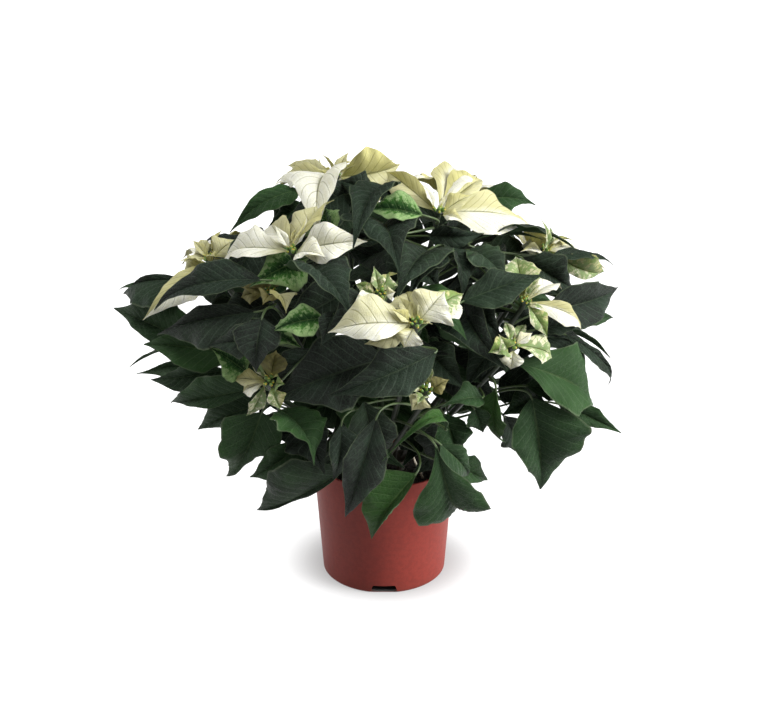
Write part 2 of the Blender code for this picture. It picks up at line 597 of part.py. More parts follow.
def settled_leaf(k, eye, stations, tries, shoots, thicket):
    # (stem, stalk, blade) of the first try that is clear, with the least moved places tried first
    for base, tip, width, face, bow in tries:
        roots = roots_near(base, shoots)
        for nudge in NUDGES[:RULE_NUDGES] if stations else NUDGES:
            start, end, turned = nudged(base, tip, face, nudge, eye)
            blade = blade_rows(start, end, width, turned, bow, LEAF_FOLD, k * CHARACTER_STEP, stations)
            if thicket.crosses(*thick_faces(blade, CLEARANCE)):
                continue
            for stem, root in roots:
                stalk = stalk_rows(root, blade, bool(stations))
                slab = thick_faces(stalk + blade[:1], STALK_THICK / 2 + CLEARANCE)
                if not thicket.crosses(*slab, ("stem", stem)):
                    return stem, stalk, blade
    return None


def settled_leaves(leaves, shoots, thicket):
    placed = []
    for k, leaf in enumerate(leaves):
        found = settled_leaf(k, *leaf, shoots, thicket)
        if found:
            stem, stalk, blade = found
            thicket.add(*thick_faces(blade, CLEARANCE / 2))
            thicket.add(*thick_faces(stalk + blade[:1], STALK_THICK / 2 + CLEARANCE / 2))
            placed.append(found)
        else:
            print("no room for leaf", k)
    return placed


def collection_named(name):
    made = bpy.data.collections.new(name)
    bpy.context.scene.collection.children.link(made)
    return made


def material_named(name, colour, roughness):
    made = bpy.data.materials.new(name)
    made.use_nodes = True
    shader = made.node_tree.nodes["Principled BSDF"]
    shader.inputs["Base Color"].default_value = colour
    shader.inputs["Roughness"].default_value = roughness
    shader.inputs["Metallic"].default_value = 0
    return made


def object_of(mesh, name, home, matrix=None):
    made = bpy.data.objects.new(name, mesh)
    if matrix:
        made.matrix_world = matrix
    home.objects.link(made)
    return made


def mesh_of(shape, name):
    mesh = bpy.data.meshes.new(name)
    shape.to_mesh(mesh)
    shape.free()
    return mesh


def blade_object(rows, name, thick, home, stalk_rows=0):
    # An open sheet of triangles through the rows, thickened alike on both faces. Its stalk has no midrib, and
    # is thicker.
    shape = bmesh.new()
    bmesh.ops.create_grid(shape, x_segments=2, y_segments=len(rows) - 1, size=1)
    weights = shape.verts.layers.deform.verify()
    order = sorted(shape.verts, key=lambda vertex: (round(vertex.co.y, 4), vertex.co.x))
    for vertex, place in zip(order, [place for row in rows for place in row]):
        vertex.co = place * MM
    for vertex in order[: 3 * stalk_rows]:
        vertex[weights][0] = 1
    middle = set(order[1 : 3 * stalk_rows + 2 : 3]) if stalk_rows else set()
    ribs = [edge for edge in shape.edges if middle.issuperset(edge.verts)]
    bmesh.ops.dissolve_edges(shape, edges=ribs, use_verts=True)
    bmesh.ops.remove_doubles(shape, verts=shape.verts, dist=0.02 * MM)
    bmesh.ops.triangulate(shape, faces=shape.faces)
    made = object_of(mesh_of(shape, name), name, home)
    solid = made.modifiers.new("thickness", "SOLIDIFY")
    solid.offset = 0
    solid.thickness = thick * MM
    if stalk_rows:
        made.vertex_groups.new(name="stalk")
        solid.vertex_group = "stalk"
        solid.thickness = STALK_THICK * MM
        solid.thickness_vertex_group = thick / STALK_THICK
    return made


def tube_object(path, radii, name, home, sides=STEM_SIDES):
    # A round rod along a path, thinner towards its tip, with its ends closed
    curve = bpy.data.curves.new(name, "CURVE")
    curve.dimensions = "3D"
    curve.bevel_depth = MM
    curve.bevel_resolution = max(0, sides // 2 - 2)
    curve.use_fill_caps = True
    spline = curve.splines.new("POLY")
    spline.points.add(len(path) - 1)
    for point, place, radius in zip(spline.points, path, radii):
        point.co = (*(place * MM), 1)
        point.radius = radius
    wire = object_of(curve, name, home)
    bpy.context.view_layer.update()
    mesh = bpy.data.meshes.new_from_object(wire.evaluated_get(bpy.context.evaluated_depsgraph_get()))
    bpy.data.objects.remove(wire)
    shape = bmesh.new()
    shape.from_mesh(mesh)
    bmesh.ops.remove_doubles(shape, verts=shape.verts, dist=0.02 * MM)
    return object_of(mesh_of(shape, name), name, home)


def along_axis(middle, axis):
    # The matrix that stands a shape's Z on the axis at that place
    return Matrix.Translation(middle * MM) @ axis.to_track_quat("Z", "Y").to_matrix().to_4x4()


def cone_object(name, home, matrix, foot, top, height, sides):
    shape = bmesh.new()
    radii = {"radius1": foot * MM, "radius2": top * MM}
    bmesh.ops.create_cone(shape, cap_ends=True, segments=sides, depth=height * MM, matrix=matrix, **radii)
    return object_of(mesh_of(shape, name), name, home)


def joined(name, pieces, home, material):
    # One object from pieces that overlap, by one Boolean union on a collection that then goes
    first, rest = pieces[0], pieces[1:]
    group = collection_named(name + "_pieces")
    for piece in rest:
        group.objects.link(piece)
        home.objects.unlink(piece)
    union = first.modifiers.new("union", "BOOLEAN")
    union.operation = "UNION"
    union.operand_type = "COLLECTION"
    union.solver = "MANIFOLD"
    union.collection = group
    bpy.context.view_layer.update()
    mesh = bpy.data.meshes.new_from_object(first.evaluated_get(bpy.context.evaluated_depsgraph_get()))
    for piece in pieces:
        bpy.data.objects.remove(piece)
    bpy.data.collections.remove(group)
    mesh.name = name
    made = object_of(mesh, name, home)
    finish(made, material)
    return made


def finish(made, material):
    made.data.materials.clear()
    made.data.materials.append(material)
    made.data.shade_smooth()
    made.data.set_sharp_from_angle(angle=math.radians(35))


def turned_object(profile, name, home, steps):
    # A closed solid from (radius, height) points that run from the axis over its top and down its outer side
    shape = bmesh.new()
    corners = [shape.verts.new((radius * MM, 0, height * MM)) for radius, height in profile]
    for a, b in zip(corners, corners[1:]):
        shape.edges.new((a, b))
    made = object_of(mesh_of(shape, name), name, home)
    screw = made.modifiers.new("turn", "SCREW")
    screw.steps = screw.render_steps = steps
    screw.use_merge_vertices = True
    screw.merge_threshold = 0.00001
    screw.use_normal_calculate = True
    return made


def pot_wall_radius(height):
    return POT_FOOT_RADIUS + (POT_TOP_RADIUS - POT_FOOT_RADIUS) * height / POT_HEIGHT


def pot_object(home, helpers):
    foot, rim = pot_wall_radius(0), pot_wall_radius(POT_HEIGHT)
    profile = [
        (0, POT_FLOOR),
        (pot_wall_radius(POT_FLOOR) - POT_WALL - POT_CORNER, POT_FLOOR),
        (pot_wall_radius(POT_FLOOR + POT_CORNER) - POT_WALL, POT_FLOOR + POT_CORNER),
        (pot_wall_radius(POT_HEIGHT - POT_RIM_DEPTH) - POT_WALL, POT_HEIGHT - POT_RIM_DEPTH),
        (rim - POT_RIM, POT_HEIGHT - POT_RIM_ROUND),
        (rim - POT_RIM + POT_RIM_ROUND / 2, POT_HEIGHT),
        (rim - POT_RIM_ROUND, POT_HEIGHT),
        (rim, POT_HEIGHT - POT_RIM_ROUND),
        (pot_wall_radius(POT_FOOT_ROUND), POT_FOOT_ROUND),
        (foot - POT_FOOT_ROUND * 0.3, POT_FOOT_ROUND * 0.3),
        (foot - POT_FOOT_ROUND, 0),
        (0, 0),
    ]
    pot = turned_object(profile, "pot", home, POT_STEPS)
    for k in range(SLOT_COUNT):
        cut(pot, slot_cutter(k, SLOT_FRONT + 2 * math.pi * k / SLOT_COUNT, helpers))
    return pot


def slot_cutter(k, angle, helpers):
    # A wedge that is wider at the foot, and reaches through the wall just above the floor
    shape = bmesh.new()
    bmesh.ops.create_cube(shape, size=1)
    for vertex in shape.verts:
        low = vertex.co.z < 0
        vertex.co.x = (POT_FOOT_RADIUS + (SLOT_REACH if vertex.co.x > 0 else -SLOT_REACH)) * MM
        vertex.co.y *= (SLOT_FOOT_WIDTH if low else SLOT_TOP_WIDTH) * MM
        vertex.co.z = (-1 if low else SLOT_HEIGHT) * MM
    shape.transform(Matrix.Rotation(angle, 4, "Z"))
    return object_of(mesh_of(shape, f"slot_{k + 1}"), f"slot_{k + 1}", helpers)


def cut(solid, cutter):
    cutter.hide_render = True
    cutter.display_type = "WIRE"
    difference = solid.modifiers.new(cutter.name, "BOOLEAN")
    difference.operation = "DIFFERENCE"
    difference.object = cutter
    difference.solver = "EXACT"


def soil_object(home, helpers, holes):
    # Fills the pot to below its rim, heaped in the middle, with a plain hole for each stem
    floor = POT_FLOOR + GAP
    clear = POT_WALL + GAP
    edge = pot_wall_radius(SOIL_TOP) - clear
    profile = [(edge * share, SOIL_TOP + SOIL_HEAP * (1 - share**2)) for share in SOIL_RINGS]
    profile += [
        (edge, SOIL_TOP - 1),
        (pot_wall_radius(floor + SOIL_CORNER) - clear, floor + SOIL_CORNER),
        (pot_wall_radius(floor) - clear - SOIL_CORNER, floor),
        (0, floor),
    ]
    soil = turned_object(profile, "soil", home, POT_STEPS)
    for name, path, radius in holes:
        along = (path[-1] - path[0]).normalized()
        hole = [path[0] - along, path[-1] + along * SOIL_HOLE_PAST]
        cut(soil, tube_object(hole, [radius, radius], name, helpers, TRUNK_SIDES))
    return soil


def bare_stalk_path():
    foot, top = Vector(BARE_STALK_FOOT), Vector(BARE_STALK_TOP)
    return [foot - (top - foot).normalized() * BARE_STALK_BURIED, top]


def shoot_radii(path):
    return [SHOOT_RADIUS + (TIP_RADIUS - SHOOT_RADIUS) * k / (len(path) - 1) for k in range(len(path))]


def trunk_path(stem):
    return [trunk_place(stem) + UP * TRUNK_FOOT, trunk_place(stem) + UP * FORK_HEIGHT]


def crown_layout():
    # The shoots, and the bracts and leaves bent clear of them and of each other
    thicket = Thicket()
    wall = [UP * height for height in (0, POT_HEIGHT)]
    thicket.add(*tube_faces(wall, [POT_FOOT_RADIUS + GAP, POT_TOP_RADIUS + GAP], POT_STEPS))
    thicket.add(*tube_faces([UP * SOIL_TOP, UP * (SOIL_TOP + SOIL_HEAP)], [POT_TOP_RADIUS, 1], POT_STEPS))
    blooms = planned_blooms()
    shoots = []
    for k, (stem, middle, axis, _) in enumerate(blooms):
        path = shoot_path(stem, middle, axis)
        shoots.append((stem, path))
        thicket.add(*tube_faces(path, [radius + GAP for radius in shoot_radii(path)]), ("stem", stem))
        foot, rim, top = (middle + axis * height for height in BLOOM_LEVELS)
        thicket.add(*tube_faces([foot, rim], [RECEPTACLE_RADIUS + GAP] * 2, TRUNK_SIDES), ("bloom", k))
        thicket.add(*tube_faces([rim, top], [BUD_PAD_RADIUS + GAP] * 2, TRUNK_SIDES))
    for stem in range(len(STEM_DIRECTIONS)):
        thicket.add(*tube_faces(trunk_path(stem), [TRUNK_RADIUS + GAP] * 2, TRUNK_SIDES), ("stem", stem))
    bracts = [settled_bracts(k, *bloom[1:], thicket) for k, bloom in enumerate(blooms)]
    return blooms, shoots, bracts, settled_leaves(planned_leaves(), shoots, thicket)


def build():
    for old in list(bpy.data.objects):
        bpy.data.objects.remove(old)
    home, helpers = collection_named("potted_poinsettia"), collection_named("cutters")
    leaf_green = material_named("leaf_green", LEAF_GREEN, 0.5)
    cream = material_named("bract_cream", BRACT_CREAM, 0.55)
    bud_green = material_named("bud_green", BUD_GREEN, 0.5)
    blooms, shoots, bracts, leaves = crown_layout()

    for k, ((_, middle, axis, _), blades) in enumerate(zip(blooms, bracts), 1):
        stand = along_axis(middle, axis)
        radii = RECEPTACLE_FOOT_RADIUS, RECEPTACLE_RADIUS
        pieces = [cone_object("receptacle", home, stand, *radii, RECEPTACLE_HEIGHT, TRUNK_SIDES)]
        pieces += [blade_object(rows, "bract", BRACT_THICK, home) for rows in blades]
        joined(f"bloom_{k:02d}", pieces, home, cream)
        joined(f"buds_{k:02d}", bud_pieces(middle, axis, home), home, bud_green)

    for stem in range(len(STEM_DIRECTIONS)):
        pieces = [tube_object(trunk_path(stem), [TRUNK_RADIUS] * 2, "trunk", home, TRUNK_SIDES)]
        pieces += [
            tube_object(path, shoot_radii(path), "shoot", home) for owner, path in shoots if owner == stem
        ]
        pieces += [
            blade_object(stalk + blade, "leaf", LEAF_THICK, home, len(stalk))
            for owner, stalk, blade in leaves
            if owner == stem
        ]
        joined(f"leafy_stem_{stem + 1}", pieces, home, leaf_green)

    finish(pot_object(home, helpers), material_named("pot_plastic", POT_TERRACOTTA, 0.5))
    bare = bare_stalk_path()
    finish(
        tube_object(bare, [BARE_STALK_RADIUS] * 2, "bare_stalk", home),
        material_named("bare_stalk_beige", BARE_STALK_BEIGE, 0.7),
    )
    holes = [("bare_stalk_hole", bare, BARE_STALK_RADIUS + GAP)]
    for stem in range(len(STEM_DIRECTIONS)):
        holes.append((f"stem_hole_{stem + 1}", trunk_path(stem), TRUNK_RADIUS + GAP))
    finish(soil_object(home, helpers, holes), material_named("potting_soil", SOIL_BROWN, 0.95))


def bud_pieces(middle, axis, home):
    # Buds like short pegs on a small pad, which sits on the bloom's receptacle
    first = level_with(RIGHT, axis)
    second = axis.cross(first)
    pad = middle + axis * (RECEPTACLE_HEIGHT / 2 + GAP + BUD_PAD_HEIGHT / 2)
    radii = BUD_PAD_RADIUS, BUD_PAD_RADIUS
    pieces = [cone_object("pad", home, along_axis(pad, axis), *radii, BUD_PAD_HEIGHT, PAD_SIDES)]
    for k in range(BUD_COUNT):
        angle = 2 * math.pi * k / BUD_COUNT
        out = first * math.cos(angle) + second * math.sin(angle)
        place = pad + out * BUD_CIRCLE + axis * (BUD_HEIGHT / 2)
        radii = BUD_RADIUS * BUD_FOOT_SHARE, BUD_RADIUS
        pieces.append(cone_object("bud", home, along_axis(place, axis), *radii, BUD_HEIGHT, BUD_SIDES))
    return pieces


build()
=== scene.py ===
import itertools
import math
import random
from collections import namedtuple

import bmesh
import bpy
import numpy as np
from mathutils import Matrix, Vector, noise
from mathutils.bvhtree import BVHTree


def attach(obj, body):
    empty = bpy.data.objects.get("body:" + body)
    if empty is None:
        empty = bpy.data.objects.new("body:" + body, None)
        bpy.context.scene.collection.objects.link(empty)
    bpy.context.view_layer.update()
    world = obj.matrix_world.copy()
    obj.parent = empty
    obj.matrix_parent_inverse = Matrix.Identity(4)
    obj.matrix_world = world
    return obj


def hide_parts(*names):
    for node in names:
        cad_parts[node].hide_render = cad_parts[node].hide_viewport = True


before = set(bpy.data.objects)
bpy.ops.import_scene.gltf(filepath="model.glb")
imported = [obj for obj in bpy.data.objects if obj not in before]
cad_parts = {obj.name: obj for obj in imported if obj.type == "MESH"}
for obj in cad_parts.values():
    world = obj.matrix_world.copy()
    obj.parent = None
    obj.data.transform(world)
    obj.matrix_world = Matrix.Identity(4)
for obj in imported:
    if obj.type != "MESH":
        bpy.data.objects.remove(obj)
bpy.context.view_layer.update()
print("frame loaded:", len(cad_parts), "nodes")

mm = 0.001
up = Vector((0, 0, 1))
right = Vector((1, 0, 0))
gap = 0.4  # between pieces that touch, in millimetres, as are all lengths up to where a mesh is made


class Number:
    # One socket in a sum. Each operator adds its Math node.
    def __init__(self, tree, socket):
        self.tree, self.socket = tree, socket

    def math(self, operation, *others):
        return self.tree.number("ShaderNodeMath", dict(enumerate((self, *others))), {"operation": operation})

    def __add__(self, other):
        return self.math("ADD", other)

    def __sub__(self, other):
        return self.math("SUBTRACT", other)

    def __rsub__(self, other):
        return self.tree.number("ShaderNodeMath", {0: other, 1: self}, {"operation": "SUBTRACT"})

    def __mul__(self, other):
        return self.math("MULTIPLY", other)

    def __truediv__(self, other):
        return self.math("DIVIDE", other)

    def __pow__(self, other):
        return self.math("POWER", other)

    def __neg__(self):
        return self.math("MULTIPLY", -1)

    def __abs__(self):
        return self.math("ABSOLUTE")

    __radd__ = __add__
    __rmul__ = __mul__


class NodeTree:
    # Builds a node tree, of a material or of Geometry Nodes
    def __init__(self, tree):
        self.tree = tree

    def node(self, kind, values=None, settings=None):
        made = self.tree.nodes.new(kind)
        for name, value in (settings or {}).items():
            setattr(made, name, value)
        for key, value in (values or {}).items():
            self.feed(made.inputs[key], value)
        return made

    def feed(self, socket, value):
        source = value.socket if isinstance(value, Number) else value
        if isinstance(source, bpy.types.NodeSocket):
            self.tree.links.new(source, socket)
        else:
            socket.default_value = source

    def out(self, kind, values=None, settings=None, output=0):
        return self.node(kind, values, settings).outputs[output]

    def number(self, kind, values=None, settings=None, output=0):
        return Number(self, self.out(kind, values, settings, output))

    def smooth(self, value, low, high):
        # A soft step from 0 to 1 as the value goes from low to high
        values = {"Value": value, "From Min": low, "From Max": high}
        return self.number("ShaderNodeMapRange", values, {"interpolation_type": "SMOOTHSTEP"})

    def mix(self, factor, first, second):
        # Of two colours. The colour sockets of a Mix node are 6 and 7, and its colour output is 2.
        colours = {0: factor, 6: opaque(first), 7: opaque(second)}
        return self.out("ShaderNodeMix", colours, {"data_type": "RGBA"}, 2)

    def layered(self, colour, *layers):
        # Each layer is the share that it covers and its own colour
        for share, over in layers:
            colour = self.mix(share, colour, over)
        return colour


def opaque(colour):
    return (*colour, 1) if isinstance(colour, tuple) else colour


def newMaterial(name, roughness=0.5, specular=0.5, subsurface=0.0, radius=(0.2, 1.0, 0.2), depth=0.001):
    # A material whose even values are set on its shader, and the tree that its maker goes on with
    material = bpy.data.materials.new(name)
    material.use_nodes = True
    shader = material.node_tree.nodes["Principled BSDF"]
    shader.inputs["Roughness"].default_value = roughness
    shader.inputs["Specular IOR Level"].default_value = specular
    shader.inputs["Subsurface Weight"].default_value = subsurface
    shader.inputs["Subsurface Radius"].default_value = radius
    shader.inputs["Subsurface Scale"].default_value = depth
    return material, NodeTree(material.node_tree), shader


def dress(tree, shader, colour, roughness=None, relief=None):
    # Feeds what changes over the surface. The relief is the height, strength and distance of a bump.
    tree.feed(shader.inputs["Base Color"], opaque(colour))
    if roughness is not None:
        tree.feed(shader.inputs["Roughness"], roughness)
    if relief is not None:
        values = dict(zip(("Height", "Strength", "Distance"), relief))
        tree.feed(shader.inputs["Normal"], tree.out("ShaderNodeBump", values))


def ownSpace(tree):
    return tree.out("ShaderNodeTexCoord", output="Object")


def heightIn(tree):
    return tree.number("ShaderNodeSeparateXYZ", {0: ownSpace(tree)}, None, 2)


def spot(tree, scale, detail=3.0, roughness=0.5, mapping=None):
    # Noise over the piece's own space, from about 0.3 to 0.7, turned or stretched by a Mapping node's values
    place = ownSpace(tree)
    if mapping:
        place = tree.out("ShaderNodeMapping", {"Vector": place, **mapping})
    values = {"Vector": place, "Scale": scale, "Detail": detail, "Roughness": roughness}
    return tree.number("ShaderNodeTexNoise", values)


# Studio: the photograph's eye point and lens, a pale floor, and soft light from the front right
studio = {
    "eye": (0, -1300, 718),
    "pitch": 21.3,
    "focalPixels": 1510,
    "imageWidth": 768,
    "sensor": 36,
    "world": 0.27,
    "floor": (0.30, 0.30, 0.30),  # it glows, so that the light's own shadows on it stay faint
    "floorGlow": 1.05,
    "footShade": (52, 112, 0.36),  # painted contact shadow: the glow fades from the second radius to the first, down to this share
    "shadeMiddle": (1, 10, 0),
    "floorHalf": 6,  # in metres
}
lamps = (
    # name, direction round from the front towards the right, height above the floor, strength and softness,
    # with the angles in degrees
    ("keyLight", 64, 36, 2.3, 26),
    ("lowLight", 80, 9, 2.7, 24),
    ("topLight", 10, 72, 1.4, 36),
    ("leftFill", -112, 12, 0.92, 40),
)


def makeStudio():
    camera = bpy.data.cameras.new("camera")
    camera.sensor_width = studio["sensor"]
    camera.lens = studio["sensor"] * studio["focalPixels"] / studio["imageWidth"]
    stand = linked("camera", camera)
    tilt = Matrix.Rotation(math.radians(90 - studio["pitch"]), 4, "X")
    stand.matrix_world = Matrix.Translation(Vector(studio["eye"]) * mm) @ tilt
    bpy.context.scene.camera = stand

    world = bpy.data.worlds.new("softboxWorld")
    world.use_nodes = True
    world.node_tree.nodes["Background"].inputs["Color"].default_value = (1, 1, 1, 1)
    world.node_tree.nodes["Background"].inputs["Strength"].default_value = studio["world"]
    bpy.context.scene.world = world
    for name, turn, height, strength, softness in lamps:
        lamp = bpy.data.lights.new(name, "SUN")
        lamp.energy, lamp.angle = strength, math.radians(softness)
        linked(name, lamp).rotation_euler = math.radians(90 - height), 0, math.radians(turn)

    shape = bmesh.new()
    bmesh.ops.create_grid(shape, x_segments=1, y_segments=1, size=studio["floorHalf"])
    floor = objectOf(shape, "studioFloor")
    material, tree, shader = newMaterial("paleFloor", 0.9)
    # A painted contact shadow round the pot: the floor's glow dims near a point by the pot's axis
    near, far, least = studio["footShade"]
    ends = {0: ownSpace(tree), 1: tuple(Vector(studio["shadeMiddle"]) * mm)}
    away = tree.number("ShaderNodeVectorMath", ends, {"operation": "DISTANCE"}, 1)
    glow = tree.mix(tree.smooth(away, near * mm, far * mm), (least,) * 3, (1, 1, 1))
    dress(tree, shader, studio["floor"])
    tree.feed(shader.inputs["Emission Color"], glow)
    shader.inputs["Emission Strength"].default_value = studio["floorGlow"]
    floor.data.materials.append(material)
    floor.visible_diffuse = False  # it takes shadows but throws no light back up at the leaves
    bpy.context.scene.view_settings.view_transform = "Standard"


def linked(name, data):
    made = bpy.data.objects.new(name, data)
    bpy.context.scene.collection.objects.link(made)
    return made


def objectOf(shape, name):
    mesh = bpy.data.meshes.new(name)
    shape.to_mesh(mesh)
    shape.free()
    return linked(name, mesh)


def settled(made, name, sharp=55):
    # The plain mesh that the object's modifiers give, as a new object with the finished piece's name
    bpy.context.view_layer.update()
    mesh = bpy.data.meshes.new_from_object(made.evaluated_get(bpy.context.evaluated_depsgraph_get()))
    bpy.data.objects.remove(made)
    mesh.name = name
    mesh.shade_smooth()
    mesh.set_sharp_from_angle(angle=math.radians(sharp))
    return linked(name, mesh)


# The crown as seen: lengths on a picture plane, across from the pot's axis and upward from its foot
crown = {
    "pictureDistance": 1510, "pictureMiddle": 230.5, "middleDistance": 1386.6, "across": -17, "upward": 262,
    "halfWidth": 255, "rise": 185, "drop": 215, "depth": 200, "squareness": 1.4, "fullness": 0.7,
}
pitch = math.radians(studio["pitch"])
eye = Vector(studio["eye"])
backEye = Vector((eye.x, -eye.y, eye.z))
sight = Vector((0, math.cos(pitch), -math.sin(pitch)))
sightUp = Vector((0, math.sin(pitch), math.cos(pitch)))

leafColumns = "look baseAcross baseUp tipAcross tipUp width baseSink tipSink faceRight faceUp bow"
Leaf = namedtuple("Leaf", leafColumns)
Bloom = namedtuple("Bloom", "stem across up sink tilt bracts")
Bract = namedtuple("Bract", "look across up width sink faceRight faceUp bow")
Ring = namedtuple("Ring", "count length steep turn")

# Each leaf's look is d dark, g green, b bright green or v variegated
leaves = [
    Leaf(*row)
    for row in (
        # Upper left
        ("g", -84, 402, -152, 363, 42, 35, 20, 0.0, 0.8, 0.16),
        ("g", -76, 386, -115, 366, 22, 60, 45, 0.0, 0.9, 0.10),
        ("d", -128, 336, -180, 349, 32, 45, 20, 0.0, 1.0, 0.20),
        ("d", -180, 308, -260, 300, 50, 40, 10, 0.0, 0.5, 0.14),
        ("g", -215, 305, -264, 304, 22, 60, 30, 0.0, 0.8, 0.10),
        ("g", -180, 244, -270, 284, 54, 50, 0, 0.0, 0.1, 0.06),
        ("d", -128, 280, -226, 259, 56, 30, 0, 0.0, 0.3, 0.08),
        ("d", -122, 312, -228, 285, 46, 5, -12, 0.0, 0.7, 0.16),
        ("d", -115, 288, -165, 262, 44, 45, 30, 0.0, 0.3, 0.10),
        ("v", -79, 334, -132, 307, 34, 10, 0, 0.0, 0.4, 0.16),
        # Left side
        ("g", -150, 238, -238, 248, 50, 60, 12, 0.0, 0.2, 0.10),
        ("g", -160, 228, -247, 221, 42, 75, 25, 0.0, 1.1, 0.06),
        ("g", -158, 222, -232, 212, 40, 50, 8, 0.0, 0.3, 0.08),
        ("g", -130, 204, -212, 190, 46, 22, -5, 0.0, 0.3, 0.10),
        ("g", -125, 188, -186, 163, 46, 45, 10, 0.0, 0.1, 0.10),
        ("v", -138, 220, -171, 243, 30, 12, 0, 0.0, 0.3, 0.12),
        ("d", -122, 274, -128, 222, 46, 5, -8, -0.2, 0.1, 0.12),
        # Lower left
        ("g", -122, 180, -153, 119, 62, 15, -15, -0.2, 0.1, 0.10),
        ("g", -78, 150, -133, 115, 44, 40, -15, 0.0, 0.3, 0.10),
        ("g", -72, 142, -117, 104, 38, 55, -15, 0.0, 0.2, 0.08),
        ("d", -40, 122, -125, 81, 60, 30, -30, 0.0, 0.2, 0.10),
        ("g", -104, 182, -70, 130, 62, 5, -12, 0.1, 0.2, 0.14),
        ("d", -43, 168, -50, 114, 50, 35, 20, 0.0, 0.1, 0.10),
        ("d", -8, 174, -38, 76, 48, 5, -45, 0.1, 0.1, 0.10),
        ("b", 32, 118, -12, 55, 40, -10, -52, -0.2, 0.3, 0.14),
        # Front middle
        ("d", 2, 234, -113, 191, 68, 22, 0, 0.0, 0.3, 0.10),
        ("d", 52, 240, -52, 197, 46, 2, -10, 0.0, 0.3, 0.10),
        ("d", -14, 292, -56, 260, 38, 12, 0, 0.0, 0.3, 0.12),
        ("d", -85, 322, -36, 283, 62, 10, -5, 0.0, 0.1, 0.12),
        ("v", -60, 274, -109, 262, 26, 18, 5, 0.0, 0.4, 0.14),
        ("v", -114, 258, -85, 246, 20, 25, 15, 0.0, 0.4, 0.12),
        ("d", -2, 364, 14, 325, 68, 45, -8, 0.0, 0.6, 0.16),
        ("d", 0, 356, -40, 338, 38, 30, 10, 0.0, 0.4, 0.12),
        ("d", 46, 340, 14, 298, 48, 18, 0, -0.2, 0.2, 0.12),
        ("b", 62, 162, 2, 134, 28, 0, -30, 0.0, 0.6, 0.30),
        # Top
        ("d", 6, 404, -30, 350, 46, 15, 0, -0.3, 0.2, 0.14),
        ("v", 38, 377, -23, 382, 34, 5, -5, 0.0, 0.2, 0.08),
        ("d", 6, 394, -9, 422, 32, 45, 30, 0.0, 0.1, 0.06),
        ("d", -12, 398, -45, 411, 27, 45, 30, 0.0, 0.3, 0.14),
        ("v", -50, 352, -57, 377, 26, 15, 5, 0.0, 0.0, 0.08),
        ("g", 95, 392, 150, 388, 36, 45, 20, 0.0, 0.5, 0.16),
        ("g", 58, 384, 76, 405, 22, 55, 50, 0.0, 0.2, 0.12),
        # Upper right
        ("d", 86, 350, 191, 345, 34, 35, 5, 0.0, 0.8, 0.10),
        ("d", 44, 356, 98, 358, 34, 15, 5, 0.0, 0.5, 0.10),
        ("d", 60, 346, 78, 297, 40, 10, -5, 0.1, 0.2, 0.14),
        ("d", 84, 342, 122, 310, 40, 25, 8, 0.2, 0.3, 0.12),
        ("d", 78, 290, 157, 317, 48, 2, -8, 0.0, 0.3, 0.08),
        ("d", 165, 334, 228, 330, 26, 45, 10, 0.0, 1.5, 0.20),
        ("d", 138, 334, 188, 304, 44, 45, 25, 0.2, 0.3, 0.14),
        # Right side
        ("d", 158, 280, 235, 304, 54, 25, -5, 0.0, 0.1, 0.08),
        ("g", 188, 268, 230, 275, 18, 60, 45, 0.0, 0.3, 0.06),
        ("d", 150, 262, 198, 262, 24, 30, 20, 0.0, 0.9, 0.10),
        ("d", 140, 254, 205, 244, 38, 50, 25, 0.0, 0.8, 0.10),
        ("d", 180, 258, 226, 209, 24, 25, 0, 0.6, 0.2, 0.22),
        ("g", 130, 230, 201, 190, 66, 8, -12, 0.2, 0.4, 0.10),
        ("g", 142, 206, 190, 197, 32, 35, 15, 0.0, 0.4, 0.08),
        ("g", 178, 187, 234, 161, 36, 35, 0, 0.0, 0.2, 0.06),
        ("g", 148, 194, 157, 104, 70, 5, -25, 0.1, 0.1, 0.08),
        ("b", 112, 202, 120, 150, 38, 15, -5, -0.9, 0.2, 0.14),
        ("d", 120, 176, 136, 141, 30, 45, 25, 0.0, 0.2, 0.10),
        # Lower right
        ("d", 80, 288, 119, 226, 62, 4, -10, 0.0, 0.2, 0.14),
        ("g", 90, 184, 99, 160, 24, 25, 5, 0.0, 0.2, 0.12),
        ("g", 60, 178, 72, 136, 34, 35, 20, 0.1, 0.2, 0.14),
        ("g", 56, 148, 84, 117, 38, 5, -18, 0.2, 0.2, 0.14),
        ("g", 52, 146, 70, 81, 62, 0, -35, 0.2, 0.1, 0.16),
        ("g", 62, 128, 104, 112, 30, 20, 0, 0.0, 0.2, 0.08),
        ("g", 98, 194, 60, 186, 26, 30, 20, 0.0, 0.6, 0.12),
    )
]
